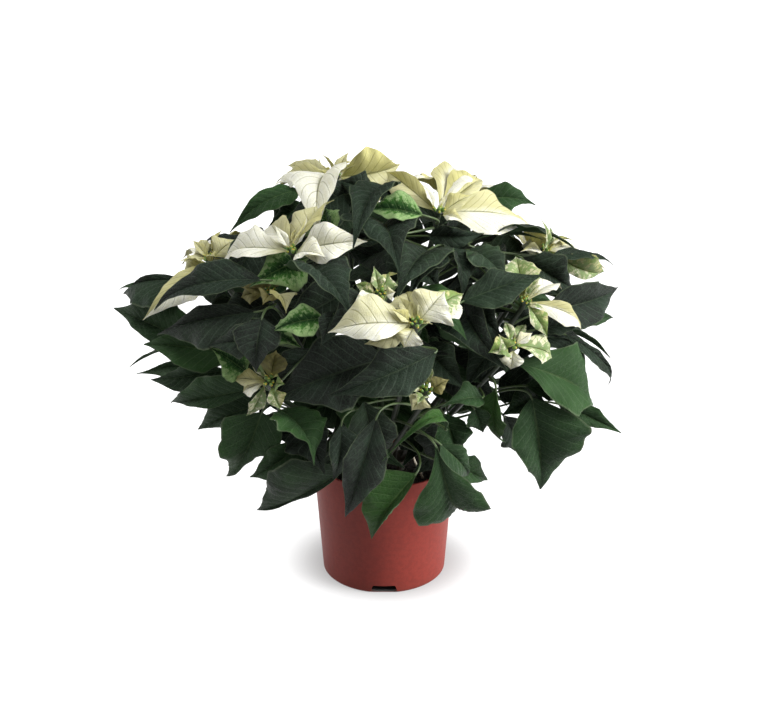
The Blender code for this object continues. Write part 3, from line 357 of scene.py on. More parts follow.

# Each bract's look is c cream, y yellow-green, o dark olive or m mottled green and cream. The o look is
# painted deep shade; y is a young bract's own colour and, on bracts turned from the light, painted shade
blooms = [
    Bloom(*row[:5], [Bract(*bract) for bract in row[5]])
    for row in (
        (1, 32, 268, -14, 0.5, (
            ("c", -53, 261, 46, -10, 0.0, 0.6, 0.12), ("c", 20, 245, 26, -14, 0.0, 0.5, 0.10),
            ("m", 79, 299, 32, -8, -0.3, 0.0, 0.10), ("c", 79, 286, 24, 5, 0.0, 0.4, 0.08),
            ("y", 22, 300, 32, 8, 0.0, 0.1, 0.06), ("c", 60, 300, 38, 10, 0.0, 0.1, 0.06),
            ("y", 14, 296, 11, -12, 0.3, 0.2, 0.05), ("y", -18, 248, 20, 5, 0.0, 0.3, 0.10))),
        (0, -92, 340, -8, 0.3, (
            ("c", -162, 331, 34, -5, 0.0, 0.9, 0.14), ("c", -113, 368, 32, 0, 0.2, 0.1, 0.08),
            ("y", -83, 374, 30, -4, -0.2, 0.1, 0.06), ("c", -20, 351, 36, -4, 0.0, 0.4, 0.08),
            ("y", -132, 354, 20, 15, 0.0, 0.5, 0.14), ("c", -60, 336, 26, -16, 0.0, 0.8, 0.10))),
        (3, -48, 414, 25, 0.0, (
            ("c", -67, 358, 50, 5, -0.3, 0.4, 0.24), ("c", -107, 411, 28, 25, 0.0, 0.7, 0.12),
            ("y", -97, 428, 16, 35, 0.0, 0.2, 0.10), ("y", -79, 426, 20, 40, 0.0, 0.6, 0.10),
            ("y", 15, 427, 54, 28, 0.0, -0.4, 0.12))),
        (3, 54, 379, 5, 0.1, (
            ("y", 2, 421, 32, 30, -0.2, 0.3, 0.08), ("c", 70, 427, 44, 30, 0.0, 0.0, 0.05),
            ("y", 92, 417, 24, 20, 0.0, 0.3, 0.30), ("c", 145, 370, 50, 0, 0.0, 0.4, 0.10),
            ("c", 158, 365, 30, 35, 0.0, 0.6, 0.14), ("y", 88, 397, 16, 5, 0.0, 0.8, 0.08),
            ("c", 78, 372, 14, -10, 0.0, 0.8, 0.06))),
        (0, -174, 332, 5, 0.2, (
            ("y", -190, 338, 28, 5, 0.0, 0.4, 0.10), ("y", -200, 318, 20, -4, -0.2, 0.2, 0.14),
            ("c", -239, 275, 38, 10, 0.0, 0.2, 0.06), ("y", -150, 352, 24, 12, 0.0, 0.4, 0.10))),
        (0, -112, 300, 35, 0.4, (
            ("o", -143, 295, 18, 32, 0.0, 0.4, 0.10), ("o", -121, 288, 16, 20, 0.0, 0.5, 0.20),
            ("y", -98, 281, 22, 20, 0.2, 0.2, 0.16), ("o", -122, 313, 9, 28, 0.0, 0.0, 0.08),
            ("o", -104, 314, 9, 28, 0.0, 0.0, 0.08))),
        (0, -114, 209, 5, 0.5, (
            ("o", -108, 241, 30, 14, 0.0, 0.1, 0.08), ("y", -150, 213, 18, 5, 0.0, 0.4, 0.10),
            ("c", -141, 200, 18, -2, 0.0, 0.1, 0.08), ("m", -137, 176, 18, -6, 0.0, 0.2, 0.08),
            ("m", -104, 183, 24, -6, 0.0, 0.3, 0.10), ("m", -100, 208, 12, 2, 0.0, 0.3, 0.06))),
        (2, 140, 290, 2, 0.4, (
            ("m", 132, 336, 30, 10, 0.0, 0.1, 0.06), ("m", 150, 322, 20, 2, 0.0, 0.0, 0.06),
            ("c", 177, 305, 24, 0, 0.0, 0.5, 0.10), ("c", 197, 264, 36, 0, 0.0, 0.5, 0.18),
            ("m", 163, 256, 16, -4, 0.0, 0.4, 0.10))),
        (2, 160, 341, 15, 0.2, (
            ("c", 192, 346, 26, 15, 0.0, 0.4, 0.08), ("c", 138, 341, 12, 12, 0.0, 0.6, 0.10),
            ("c", 163, 328, 11, 4, 0.0, 0.2, 0.06), ("m", 220, 320, 28, 25, 0.1, 0.2, 0.14))),
        (2, 128, 246, 8, 0.5, (
            ("m", 121, 270, 10, 2, 0.3, 0.1, 0.14), ("m", 116, 256, 14, 0, 0.2, 0.1, 0.08),
            ("m", 168, 235, 24, 2, 0.0, 0.5, 0.12), ("c", 148, 259, 10, 5, 0.0, 0.2, 0.06),
            ("c", 127, 223, 20, 0, 0.0, 0.2, 0.08), ("m", 106, 240, 22, 4, 0.0, 0.3, 0.10))),
        (1, 42, 200, 28, 0.5, (
            ("y", 28, 182, 20, 15, -0.1, 0.2, 0.12), ("o", 64, 212, 17, 20, 0.0, 0.4, 0.12),
            ("m", 26, 214, 16, 26, 0.0, 0.2, 0.08))),
        (1, -4, 296, 12, 0.5, (
            ("c", -31, 286, 18, 5, 0.0, 0.3, 0.08), ("m", 4, 318, 16, 8, 0.2, 0.1, 0.06),
            ("c", 11, 300, 11, 4, 0.0, 0.2, 0.06), ("m", -24, 303, 14, 10, 0.0, 0.3, 0.08))),
    )
]

# The crown's back follows a rule. A bloom has its stem, direction, radius and height, and a tier of leaves
# the height of its tips, their count, their reach and their length.
back = {
    "seed": 7,
    "blooms": (
        (4, 58, 120, 338), (3, 118, 100, 350), (3, 98, 172, 282), (4, 28, 168, 285), (0, 152, 168, 285),
    ),
    "tiers": ((322, 5, 165, 80), (275, 8, 205, 92), (225, 8, 212, 96), (170, 7, 188, 92), (122, 4, 140, 80)),
    "from": -12, "to": 192, "middle": -12, "rings": (Ring(5, 66, 14, 0), Ring(2, 38, 46, 32)),
    "ringWidth": 0.5, "ringBow": 0.12, "ringTurns": (-0.16, 0.16), "ringSteeps": (-0.14, 0.14),
    "ringLengths": (0.88, 1.12), "widths": (0.5, 0.6), "bow": 0.12, "darkAbove": 250, "turns": (-0.3, 0.3),
    "reaches": (0.9, 1.04), "heights": (-18, 18), "rises": (-0.3, 0.6), "lengths": (0.9, 1.1),
}
# Leaves inside the crown, in rows: upward, count, spread, and depth below the crown's surface
inner = {
    "seed": 3,
    "rows": (
        (365, 4, 200, 55), (330, 5, 290, 55), (290, 6, 340, 55), (250, 6, 340, 55), (210, 6, 300, 55),
        (170, 5, 220, 55), (135, 3, 120, 55), (345, 3, 180, 130), (275, 4, 320, 140), (205, 3, 260, 130),
    ),
    "length": 88, "width": 0.62, "bow": 0.08, "darkAbove": 220, "places": (-16, 16), "sinks": (-15, 60),
    "outward": 0.5, "aside": (-0.6, 0.6), "drop": (-0.2, 0.9), "lengths": (0.8, 1), "faceRight": (-0.3, 0.3),
    "faceUp": (0, 0.4),
}
blade = {
    "stations": (0, 0.18, 0.42, 0.72, 1), "smallStations": (0, 0.33, 0.68, 1),
    "tinyStations": (0, 0.4, 1), "small": 72, "tiny": 38, "rise": 0.75,
    "fall": 1.4, "shoulder": 0.3, "shoulderPlace": 0.42, "shoulderReach": 0.14, "shoulderTurn": 7.3,
    "wave": 0.07, "waveCount": 1.4, "waveShift": 0.35, "leafWidth": 0.92, "leafFold": math.radians(14),
    "bractFold": math.radians(17), "clearance": 1.3, "characterStep": 0.37,
}
# A petiole springs from a shoot about this rise below its leaf, and of the nearest places this many are tried
stalk = {
    "width": 2.5, "thick": 2.1, "knee": 20, "kneeShare": 0.45, "roots": 5, "rise": 16, "leastRise": -6,
    "mostRise": 70, "riseWeight": 0.6, "rootShares": (0, 0.33, 0.67),
}
stems = {
    "directions": (190, 262, 334, 118, 46), "trunkRadius": 4.2, "shootRadius": 3.0, "tipRadius": 2.2,
    "circle": 17, "foot": 55, "fork": 122, "start": 114, "neck": 12, "sides": 6, "trunkSides": 8,
    "steps": 5, "spreadFoot": 0.7, "spreadTip": 0.45, "spreadRise": 0.42,
}
seat = {"radius": 8.4, "height": 3.6, "root": 5, "lean": 0.003}
bud = {"padRadius": 4.0, "padHeight": 1.2, "height": 5.0}
# How a blade is moved clear of what stands: its base and its tip along their sight lines, and its turn about
# its length. The moves with the least cost are tried first.
search = {
    "tries": 6, "ruleNudges": 60, "baseMoves": range(-60, 61, 12), "tipMoves": range(-48, 49, 12),
    "turns": (0, -0.5, 0.5, -1, 1), "tipCost": 1.4, "turnCost": 16,
}

# A finished blade: its chord, width, face, arch and fold, its edges' character, its look and its stations
Blade = namedtuple("Blade", "base tip width face bow fold character look stations")
Placed = namedtuple("Placed", "stem stalk blade")


def seen(across, upward, towards):
    ray = right * across + sightUp * (upward - crown["pictureMiddle"]) + sight * crown["pictureDistance"]
    return eye + ray * ((crown["middleDistance"] - towards) / crown["pictureDistance"])


def crownSurface(across, upward):
    rise = upward - crown["upward"]
    x = abs(across - crown["across"]) / crown["halfWidth"]
    y = rise / crown["rise"] if rise > 0 else -rise / crown["drop"]
    left = 1 - x ** crown["squareness"] - y ** crown["squareness"]
    return crown["depth"] * max(0, left) ** crown["fullness"]


def onCrown(across, upward, sink):
    return seen(across, upward, crownSurface(across, upward) - sink)


def levelWith(direction, axis):
    return (direction - axis * direction.dot(axis)).normalized()


def heading(angle):
    return Vector((math.cos(angle), math.sin(angle), 0))


def around(axis, angle, start=right):
    # The way that stands square to the axis at this angle
    first = levelWith(start, axis)
    return first * math.cos(angle) + axis.cross(first) * math.sin(angle)


def facing(acrossWay, upWay):
    return -sight + right * acrossWay + up * upWay


def outline(share):
    widest = blade["rise"] / (blade["rise"] + blade["fall"])
    return (share / widest) ** blade["rise"] * ((1 - share) / (1 - widest)) ** blade["fall"]


def edgeOf(share, side, character):
    shoulder = blade["shoulder"] * math.sin(character * blade["shoulderTurn"])
    bump = max(0, 1 - abs(share - blade["shoulderPlace"]) / blade["shoulderReach"])
    factor = 1 + (max(0, shoulder) if side > 0 else max(0, -shoulder)) * bump
    turns = blade["waveCount"] * share + character + blade["waveShift"] * side
    wave = blade["wave"] * math.sin(2 * math.pi * turns)
    return factor, wave * math.sin(math.pi * share)


def stationsFor(length):
    if length < blade["tiny"]:
        return blade["tinyStations"]
    return blade["smallStations"] if length < blade["small"] else blade["stations"]


def bladeRows(shape):
    # The coarse blade that the frame's solid has, to find what it would cross
    chord = shape.tip - shape.base
    normal = levelWith(shape.face, chord.normalized())
    side = chord.normalized().cross(normal)
    rows = []
    for share in shape.stations or stationsFor(chord.length):
        rib = shape.base + chord * share + normal * (4 * shape.bow * chord.length * share * (1 - share))
        row = [rib]
        least = stalk["width"] / 2 if share == 0 else 0
        for sign in (-1, 1):
            factor, wave = edgeOf(share, sign, shape.character)
            half = max(outline(share) * shape.width / 2 * factor, least)
            lift = half * math.sin(shape.fold) + wave * shape.width
            row.append(rib + side * (sign * half * math.cos(shape.fold)) + normal * lift)
        rows.append((row[1], row[0], row[2]))
    return rows


def kneeOf(root, rows):
    # The end of a petiole, the way that its leaf starts, and the place where it bends that way
    base, leave = rows[0][1], (rows[1][1] - rows[0][1]).normalized()
    return base, leave, base - leave * min(stalk["knee"], (base - root).length * stalk["kneeShare"])


def stalkRows(root, rows, straight):
    base, _, knee = kneeOf(root, rows)
    reach = (rows[0][2] - rows[0][0]).normalized() * (stalk["width"] / 2)
    places = [root] if straight else [root, root * 0.2 + knee * 0.5 + base * 0.3]
    return [(place - reach, place, place + reach) for place in places]


def thickFaces(rows, thick):
    points, faces = [], []
    for left, rib, rightEdge in rows:
        across = rightEdge - left
        along = rows[-1][1] - rows[0][1]
        normal = (across if across.length > 0 else right).cross(along).normalized() * thick
        points += [left + normal, rib + normal, rightEdge + normal]
        points += [rightEdge - normal, rib - normal, left - normal]
    for i in range(len(rows) - 1):
        for j in range(6):
            a, b = 6 * i + j, 6 * i + (j + 1) % 6
            faces += [(a, b, b + 6), (a, b + 6, a + 6)]
    return points, faces


class Thicket:
    # What is already placed, so that the next blade is bent clear of it
    def __init__(self):
        self.points, self.faces, self.owners, self.tree = [], [], [], None

    def add(self, points, faces, owner=None):
        first = len(self.points)
        self.points += points
        self.faces += [tuple(first + i for i in face) for face in faces]
        self.owners += [owner] * len(faces)
        self.tree = BVHTree.FromPolygons(self.points, self.faces)

    def crosses(self, points, faces, but=()):
        pairs = self.tree.overlap(BVHTree.FromPolygons(points, faces))
        return any(self.owners[i] not in but for i, _ in pairs)


tubeStart = right + up * 0.3  # the way of a tube's first side


def tubeFaces(path, radii, sides=stems["sides"]):
    points, faces = [], []
    for i, middle in enumerate(path):
        along = (path[min(i + 1, len(path) - 1)] - path[max(i - 1, 0)]).normalized()
        for k in range(sides):
            points.append(middle + around(along, 2 * math.pi * k / sides, tubeStart) * radii[i])
    for i in range(len(path) - 1):
        for k in range(sides):
            a, b = sides * i + k, sides * i + (k + 1) % sides
            faces.append((a, b, b + sides, a + sides))
    return points, faces


def bend(start, control, end, steps):
    shares = [k / steps for k in range(steps + 1)]
    return [start * (1 - t) ** 2 + control * (2 * t * (1 - t)) + end * t**2 for t in shares]


def trunkPlace(stem):
    return heading(math.radians(stems["directions"][stem])) * stems["circle"]


def trunkPath(stem):
    return [trunkPlace(stem) + up * stems[height] for height in ("foot", "fork")]


def shootPath(stem, end, axis):
    start = trunkPlace(stem) + up * stems["start"]
    top = end - axis * (seat["height"] / 2 + gap)
    control = start * stems["spreadFoot"] + end * stems["spreadTip"]
    control.z = start.z + (end.z - start.z) * stems["spreadRise"]
    return bend(start, control, top - axis * stems["neck"], stems["steps"] - 1) + [top]


def shootRadii(path):
    fall = stems["tipRadius"] - stems["shootRadius"]
    return [stems["shootRadius"] + fall * k / (len(path) - 1) for k in range(len(path))]


def bloomAxis(middle, tilt):
    outward = Vector((middle.x, middle.y, 0)) * seat["lean"]
    return (up + outward - sight * tilt).normalized()


def plannedBlooms():
    # (stem, middle, axis, [(tip, width, face, bow, look)]) of every bloom
    planned = []
    for bloom in blooms:
        middle = onCrown(bloom.across, bloom.up, bloom.sink)
        bracts = [
            (onCrown(b.across, b.up, b.sink), b.width, facing(b.faceRight, b.faceUp), b.bow, b.look)
            for b in bloom.bracts
        ]
        planned.append((bloom.stem, middle, bloomAxis(middle, bloom.tilt), bracts))
    draw = random.Random(back["seed"])
    for stem, direction, radius, height in back["blooms"]:
        angle = math.radians(direction)
        middle = Vector((math.cos(angle) * radius, math.sin(angle) * radius, height))
        axis = bloomAxis(middle, 0)
        planned.append((stem, middle, axis, rosette(middle, axis, draw, back["rings"])))
    return planned


def rosette(middle, axis, draw, rings):
    bracts = []
    for ring in rings:
        for k in range(ring.count):
            turn = 2 * math.pi * (k + draw.uniform(*back["ringTurns"])) / ring.count
            angle = turn + math.radians(ring.turn)
            steep = math.radians(ring.steep) + draw.uniform(*back["ringSteeps"])
            length = ring.length * draw.uniform(*back["ringLengths"])
            way, face = leaning(axis, around(axis, angle), steep)
            bracts.append((middle + way * length, length * back["ringWidth"], face, back["ringBow"], "c"))
    return bracts


def leaning(axis, out, steep):
    # The way that a bract takes and the way that it faces
    return out * math.cos(steep) + axis * math.sin(steep), axis * math.cos(steep) - out * math.sin(steep)


def seenLeaf(leaf, slimmer, deeper):
    return (
        onCrown(leaf.baseAcross, leaf.baseUp, leaf.baseSink + deeper),
        onCrown(leaf.tipAcross, leaf.tipUp, leaf.tipSink),
        leaf.width * blade["leafWidth"] * slimmer,
        facing(leaf.faceRight, leaf.faceUp),
        leaf.bow,
    )


def backLeaf(k, tier, draw):
    height, count, reach, length = tier
    share = (k + 0.5 + draw.uniform(*back["turns"])) / count
    angle = math.radians(back["from"] + (back["to"] - back["from"]) * share)
    out = heading(angle)
    tip = out * (reach * draw.uniform(*back["reaches"])) + up * (height + draw.uniform(*back["heights"]))
    tip.x += back["middle"]
    rise = draw.uniform(*back["rises"])
    base = tip - (out * math.cos(rise) - up * math.sin(rise)) * (length * draw.uniform(*back["lengths"]))
    return base, tip, length * draw.uniform(*back["widths"]), up + out, back["bow"]


def innerLeaf(k, row, draw):
    upward, count, spread, sink = row
    across = crown["across"] + spread * ((k + 0.5) / count - 0.5) + draw.uniform(*inner["places"])
    upward += draw.uniform(*inner["places"])
    tip = onCrown(across, upward, sink + draw.uniform(*inner["sinks"]))
    way = drawnWay(outward(tip, inner), inner, draw)
    length = inner["length"] * draw.uniform(*inner["lengths"])
    return tip - way * length, tip, length * inner["width"], drawnFace(inner, draw), inner["bow"]


def outward(tip, kind):
    # Away from the pot's axis, with this share of the depth
    return Vector((tip.x, tip.y * kind["outward"], 0)).normalized()


def drawnWay(out, kind, draw):
    return (out + right * draw.uniform(*kind["aside"]) - up * draw.uniform(*kind["drop"])).normalized()


def drawnFace(kind, draw):
    return facing(draw.uniform(*kind["faceRight"]), draw.uniform(*kind["faceUp"]))


def plannedLeaves():
    # (eye, stations, tries, look) of every leaf, where a try is (base, tip, width, face, bow)
    planned = [(eye, None, [seenLeaf(leaf, 1, 0), seenLeaf(leaf, 0.8, 30)], leaf.look) for leaf in leaves]
    draw = random.Random(back["seed"])
    for tier in back["tiers"]:
        look = "d" if tier[0] > back["darkAbove"] else "g"
        for k in range(tier[1]):
            tries = [backLeaf(k, tier, draw) for _ in range(search["tries"])]
            planned.append((backEye, blade["smallStations"], tries, look))
    draw = random.Random(inner["seed"])
    for row in inner["rows"]:
        look = "d" if row[0] > inner["darkAbove"] else "g"
        for k in range(row[1]):
            tries = [innerLeaf(k, row, draw) for _ in range(search["tries"])]
            planned.append((eye, blade["tinyStations"], tries, look))
    return planned


def nudgeCost(nudge):
    base, tip, turn = map(abs, nudge)
    return base + search["tipCost"] * tip + search["turnCost"] * turn


nudges = sorted(itertools.product(search["baseMoves"], search["tipMoves"], search["turns"]), key=nudgeCost)
tipNudges = [nudge for nudge in nudges if nudge[0] == 0]


def nudged(base, tip, face, nudge, viewer):
    baseMove, tipMove, turn = nudge
    chord = (tip - base).normalized()
    movedBase = base + (viewer - base).normalized() * baseMove
    movedTip = tip + (viewer - tip).normalized() * tipMove
    return movedBase, movedTip, face + chord.cross(face) * turn


def settledBracts(k, middle, axis, bracts, thicket):
    placed = []
    clear = blade["clearance"]
    for n, (tip, width, face, bow, look) in enumerate(bracts):
        for nudge in tipNudges:
            _, moved, turned = nudged(middle, tip, face, nudge, eye)
            root = middle + levelWith(moved - middle, axis) * seat["root"]
            character = k + n * blade["characterStep"]
            shape = Blade(root, moved, width, turned, bow, blade["bractFold"], character, look, None)
            rows = bladeRows(shape)
            if not thicket.crosses(*thickFaces(rows, clear), [("bloom", k)]):
                placed.append(shape)
                thicket.add(*thickFaces(rows[1:], clear / 2))
                thicket.add(*thickFaces(rows[:2], clear / 2), ("bloom", k))
                break
    return placed


def rootsNear(base, shoots):
    found = []
    for stem, path in shoots:
        for i in range(1, len(path) - 1):
            for share in stalk["rootShares"]:
                place = path[i].lerp(path[i + 1], share)
                rise = base.z - place.z
                if stalk["leastRise"] < rise < stalk["mostRise"]:
                    cost = (place - base).length + abs(rise - stalk["rise"]) * stalk["riseWeight"]
                    found.append((cost, stem, place))
    found.sort(key=lambda entry: entry[0])
    return [entry[1:] for entry in found[: stalk["roots"]]]


def settledLeaf(k, viewer, stations, tries, look, shoots, thicket, clear, but):
    half = stalk["thick"] / 2
    for base, tip, width, face, bow in tries:
        roots = rootsNear(base, shoots)
        for nudge in nudges[: search["ruleNudges"]] if stations else nudges:
            start, end, turned = nudged(base, tip, face, nudge, viewer)
            character = k * blade["characterStep"]
            shape = Blade(start, end, width, turned, bow, blade["leafFold"], character, look, stations)
            rows = bladeRows(shape)
            if thicket.crosses(*thickFaces(rows, clear), but):
                continue
            for stem, root in roots:
                stalkPath = stalkRows(root, rows, bool(stations))
                slab = thickFaces(stalkPath + rows[:1], half + clear)
                if not thicket.crosses(*slab, but or [("stem", stem)]):
                    thicket.add(*thickFaces(rows, clear / 2))
                    thicket.add(*thickFaces(stalkPath + rows[:1], half + clear / 2))
                    return Placed(stem, root, shape)
    return None


def settledLeaves(planned, placed, shoots, thicket, clear=blade["clearance"], but=()):
    numbered = enumerate(planned, len(placed))
    return placed + [settledLeaf(k, *leaf, shoots, thicket, clear, but) for k, leaf in numbered]


def standing(thicket, planned):
    # Puts the pot, the soil, the stems and the blooms' middles in the thicket, and returns each bloom's shoot
    wall = [up * height for height in (0, pot["height"])]
    thicket.add(*tubeFaces(wall, [pot["footRadius"] + gap, pot["topRadius"] + gap], pot["steps"]))
    mound = [up * soil["top"], up * (soil["top"] + soil["heap"])]
    thicket.add(*tubeFaces(mound, [pot["topRadius"], 1], pot["steps"]))
    levels = (-seat["height"] / 2, seat["height"] / 2, seat["height"] / 2 + bud["padHeight"] + bud["height"])
    shoots = []
    for k, (stem, middle, axis, _) in enumerate(planned):
        path = shootPath(stem, middle, axis)
        shoots.append((stem, path))
        thicket.add(*tubeFaces(path, [radius + gap for radius in shootRadii(path)]), ("stem", stem))
        foot, rim, top = (middle + axis * height for height in levels)
        thicket.add(*tubeFaces([foot, rim], [seat["radius"] + gap] * 2, stems["trunkSides"]), ("bloom", k))
        thicket.add(*tubeFaces([rim, top], [bud["padRadius"] + gap] * 2, stems["trunkSides"]))
    for stem in range(len(stems["directions"])):
        radii = [stems["trunkRadius"] + gap] * 2
        thicket.add(*tubeFaces(trunkPath(stem), radii, stems["trunkSides"]), ("stem", stem))
    return shoots


def layOut():
    # Every bloom with its bracts, every shoot and every leaf, where the frame's solids have them
    thicket = Thicket()
    planned = plannedBlooms()
    shoots = standing(thicket, planned)
    bracts = [settledBracts(k, *bloom[1:], thicket) for k, bloom in enumerate(planned)]
    placed = settledLeaves(plannedLeaves(), [], shoots, thicket)
    draw = random.Random(bractlets["seed"])
    for k, (_, middle, axis, _) in enumerate(planned):
        look = bracts[k][-1].look if bracts[k] else "y"
        if k >= len(blooms):
            bracts[k] += settledBracts(k, middle, axis, rosette(middle, axis, draw, [middleRing]), thicket)
        bracts[k] += settledBracts(k, middle, axis, bractletsOf(middle, axis, look, draw), thicket)
    near = filler["clearance"]
    passed = [("stem", stem) for stem in range(len(stems["directions"]))]
    placed = settledLeaves(plannedDeepLeaves(), placed, shoots, thicket, near, passed)
    placed = settledLeaves(fillers(), placed, shoots, thicket, near)
    for size in filler["gapSizes"]:
        gaps = gapFillers(thicket, size)
        placed = settledLeaves(gaps, placed, shoots, thicket, near, passed)
        print("gaps seen:", len(gaps), "leaves now:", sum(leaf is not None for leaf in placed))
    shoots = [(*shoot, bloom[1], bloom[2]) for shoot, bloom in zip(shoots, planned)]
    return planned, shoots, bracts, [leaf for leaf in placed if leaf]


# Leaves deeper in the crown that close it behind the large ones, and the shares of their width and the depths
# that are tried
deepLeaves = [
    Leaf(*row, 0, 0.2, 0.1)
    for row in (
        ("d", 62, 348, 30, 388, 40, 55, 40), ("d", 58, 336, 26, 298, 44, 45, 30),
        ("d", 118, 292, 88, 258, 38, 45, 35), ("d", 138, 322, 180, 298, 36, 50, 40),
        ("d", 124, 256, 82, 206, 52, 70, 60), ("d", 66, 238, 112, 190, 50, 75, 55),
        ("g", 60, 216, 96, 176, 44, 60, 45), ("d", -20, 190, -6, 128, 46, 60, 45),
        ("d", 66, 172, 48, 122, 44, 48, 32), ("d", 50, 165, 20, 128, 40, 62, 50),
        ("d", -84, 168, -60, 120, 44, 40, 22), ("d", 112, 340, 84, 308, 36, 40, 32),
        ("d", 60, 322, 24, 300, 36, 70, 62), ("d", 116, 214, 160, 190, 44, 50, 40),
        ("d", 158, 212, 120, 194, 40, 70, 60), ("d", 150, 296, 130, 270, 36, 50, 42),
        ("d", 62, 158, 30, 118, 46, 34, 22), ("d", -100, 190, -76, 152, 44, 50, 40),
        ("d", 86, 380, 108, 362, 30, 50, 40), ("d", 60, 376, 40, 352, 34, 50, 42),
        ("d", 104, 362, 88, 336, 32, 50, 42), ("d", 100, 284, 66, 242, 44, 42, 30),
        ("d", 112, 246, 98, 206, 34, 60, 50), ("d", 96, 330, 60, 300, 40, 60, 45),
        ("d", 120, 262, 160, 240, 40, 50, 40), ("d", 20, 392, 52, 372, 34, 60, 50),
        ("d", 92, 290, 116, 256, 36, 40, 30), ("d", 130, 268, 168, 250, 34, 60, 50),
        ("d", 28, 326, 56, 302, 32, 50, 40), ("d", 88, 322, 60, 304, 32, 70, 60),
        ("d", 24, 360, 60, 344, 32, 50, 40), ("d", -40, 332, -14, 306, 32, 50, 40),
        ("d", 152, 250, 130, 228, 30, 50, 40), ("d", 96, 226, 118, 204, 26, 70, 60),
        ("g", 152, 196, 120, 178, 36, 50, 40), ("g", 98, 188, 64, 172, 24, 50, 40),
        ("d", -98, 198, -126, 176, 28, 50, 40), ("d", 8, 320, 36, 298, 30, 60, 50),
        ("d", 20, 364, 54, 342, 32, 80, 70),
    )
]
deepTries = [(slim, deeper) for slim in (1, 0.8, 0.6) for deeper in (0, 18, 36, -12, 60, 90)]
# Places where the photograph shows clear through the crown: across, upward and radius
openings = (
    (-138, 364, 12), (-96, 382, 10), (-122, 368, 8), (-198, 282, 9), (-183, 282, 9), (-110, 279, 8),
    (-52, 176, 8), (-36, 178, 8), (-136, 173, 8), (-128, 130, 14), (130, 214, 8), (124, 232, 6),
    (90, 158, 12), (104, 150, 16), (106, 130, 14), (134, 132, 14), (46, 202, 6), (-215, 240, 12),
    (-33, 391, 7), (-16, 407, 5), (200, 312, 8), (215, 250, 12), (26, 132, 5), (30, 124, 5), (34, 116, 5),
)

# Small leaves and bractlets that fill the crown between the large ones
filler = {
    "seed": 21, "front": 90, "back": 90, "clearance": 0.6, "gapStep": 7, "gapTries": 12,
    "gapSink": (15, 250),
    "gapSizes": (1, 0.8, 0.6, 0.45),  # one for each time that the gaps are looked for
    "pastMiddle": 0.45,  # how far a leaf is moved along its length, to lie over its gap
    "inside": 62,  # least depth of the crown's surface over a small leaf's two ends
    "across": (-225, 195), "upward": (112, 385), "sink": (22, 95), "heights": (130, 350),
    "reach": (110, 190), "length": (40, 76), "width": (0.52, 0.64), "bow": 0.10, "tries": 3,
    "halfWidth": 0.45,
    "outward": 0.6, "aside": (-0.6, 0.6), "drop": (-0.3, 0.8), "faceRight": (-0.3, 0.3), "faceUp": (0, 0.5),
    "beyond": 20,  # degrees past the back's own range
    "widest": 230, "narrowing": 0.35, "narrowOver": 120,  # the height where the back reaches farthest out
    "variegated": 0.06, "greenBelow": 120, "darkOver": 160,
}
middleRing = Ring(5, 42, 34, 36)  # a second whorl, for the blooms that have only the rule's long bracts
bractlets = {
    "seed": 5, "count": 4, "length": (13, 24), "width": (0.42, 0.58), "steep": (25, 70), "bow": 0.10,
    "turns": (-0.25, 0.25), "rise": 2,
}


def plannedDeepLeaves():
    tries = [[seenLeaf(leaf, *size) for size in deepTries] for leaf in deepLeaves]
    return [(eye, blade["smallStations"], own, leaf.look) for own, leaf in zip(tries, deepLeaves)]


def fillers():
    draw = random.Random(filler["seed"])
    planned = [frontFiller(draw) for _ in range(filler["front"])]
    return planned + [backFiller(draw) for _ in range(filler["back"])]


def frontFiller(draw):
    tries = []
    for _ in range(filler["tries"]):
        upward = draw.uniform(*filler["upward"])
        tip = onCrown(draw.uniform(*filler["across"]), upward, draw.uniform(*filler["sink"]))
        tries.append(seenTry(tip, draw))
    return plannedFiller(eye, tries, upward, draw)


def backFiller(draw):
    tries = []
    for _ in range(filler["tries"]):
        turn = draw.uniform(back["from"] - filler["beyond"], back["to"] + filler["beyond"])
        out = heading(math.radians(turn))
        height = draw.uniform(*filler["heights"])
        narrower = filler["narrowing"] * abs(height - filler["widest"]) / filler["narrowOver"]
        reach = draw.uniform(*filler["reach"]) * (1 - narrower)
        tries.append(fillerTry(out * reach + up * height, out, up + out, draw))
    return plannedFiller(backEye, tries, height, draw)


def plannedFiller(viewer, tries, height, draw):
    return viewer, blade["smallStations"], [one for one in tries if one], fillerLook(height, draw)


def seenTry(tip, draw, size=1):
    return fillerTry(tip, outward(tip, filler), drawnFace(filler, draw), draw, size)


def fillerTry(tip, out, face, draw, size=1):
    way = drawnWay(out, filler, draw)
    length = draw.uniform(*filler["length"]) * size
    width = length * draw.uniform(*filler["width"])
    base = tip - way * length
    if min(crownSurface(*asSeen(end)) for end in (base, tip)) < filler["inside"]:
        return None
    if coversOpening(base, tip, width):
        return None
    return base, tip, width, face, filler["bow"]


def coversOpening(base, tip, width):
    half = width * filler["halfWidth"]
    return any(opens(asSeen(base.lerp(tip, share)), half) for share in (0, 0.2, 0.4, 0.6, 0.8, 1))


def opens(place, margin):
    return any(math.dist(place, opening[:2]) < opening[2] + margin for opening in openings)


def gapFillers(thicket, size):
    # Small leaves for the places where the eye sees through the crown
    draw = random.Random(filler["seed"] + filler["gapSizes"].index(size))
    planned = []
    step = filler["gapStep"]
    for across in range(*filler["across"], step):
        for upward in range(filler["upward"][0] + 10, filler["upward"][1], step):
            if crownSurface(across, upward) < filler["inside"] or opens((across, upward), 0):
                continue
            hit = thicket.tree.ray_cast(eye, (seen(across, upward, 0) - eye).normalized())[0]
            if hit and not inPot(hit):
                continue
            tries = [gapTry(across, upward, draw, size) for _ in range(filler["gapTries"])]
            planned.append(plannedFiller(eye, tries, upward, draw))
    return planned


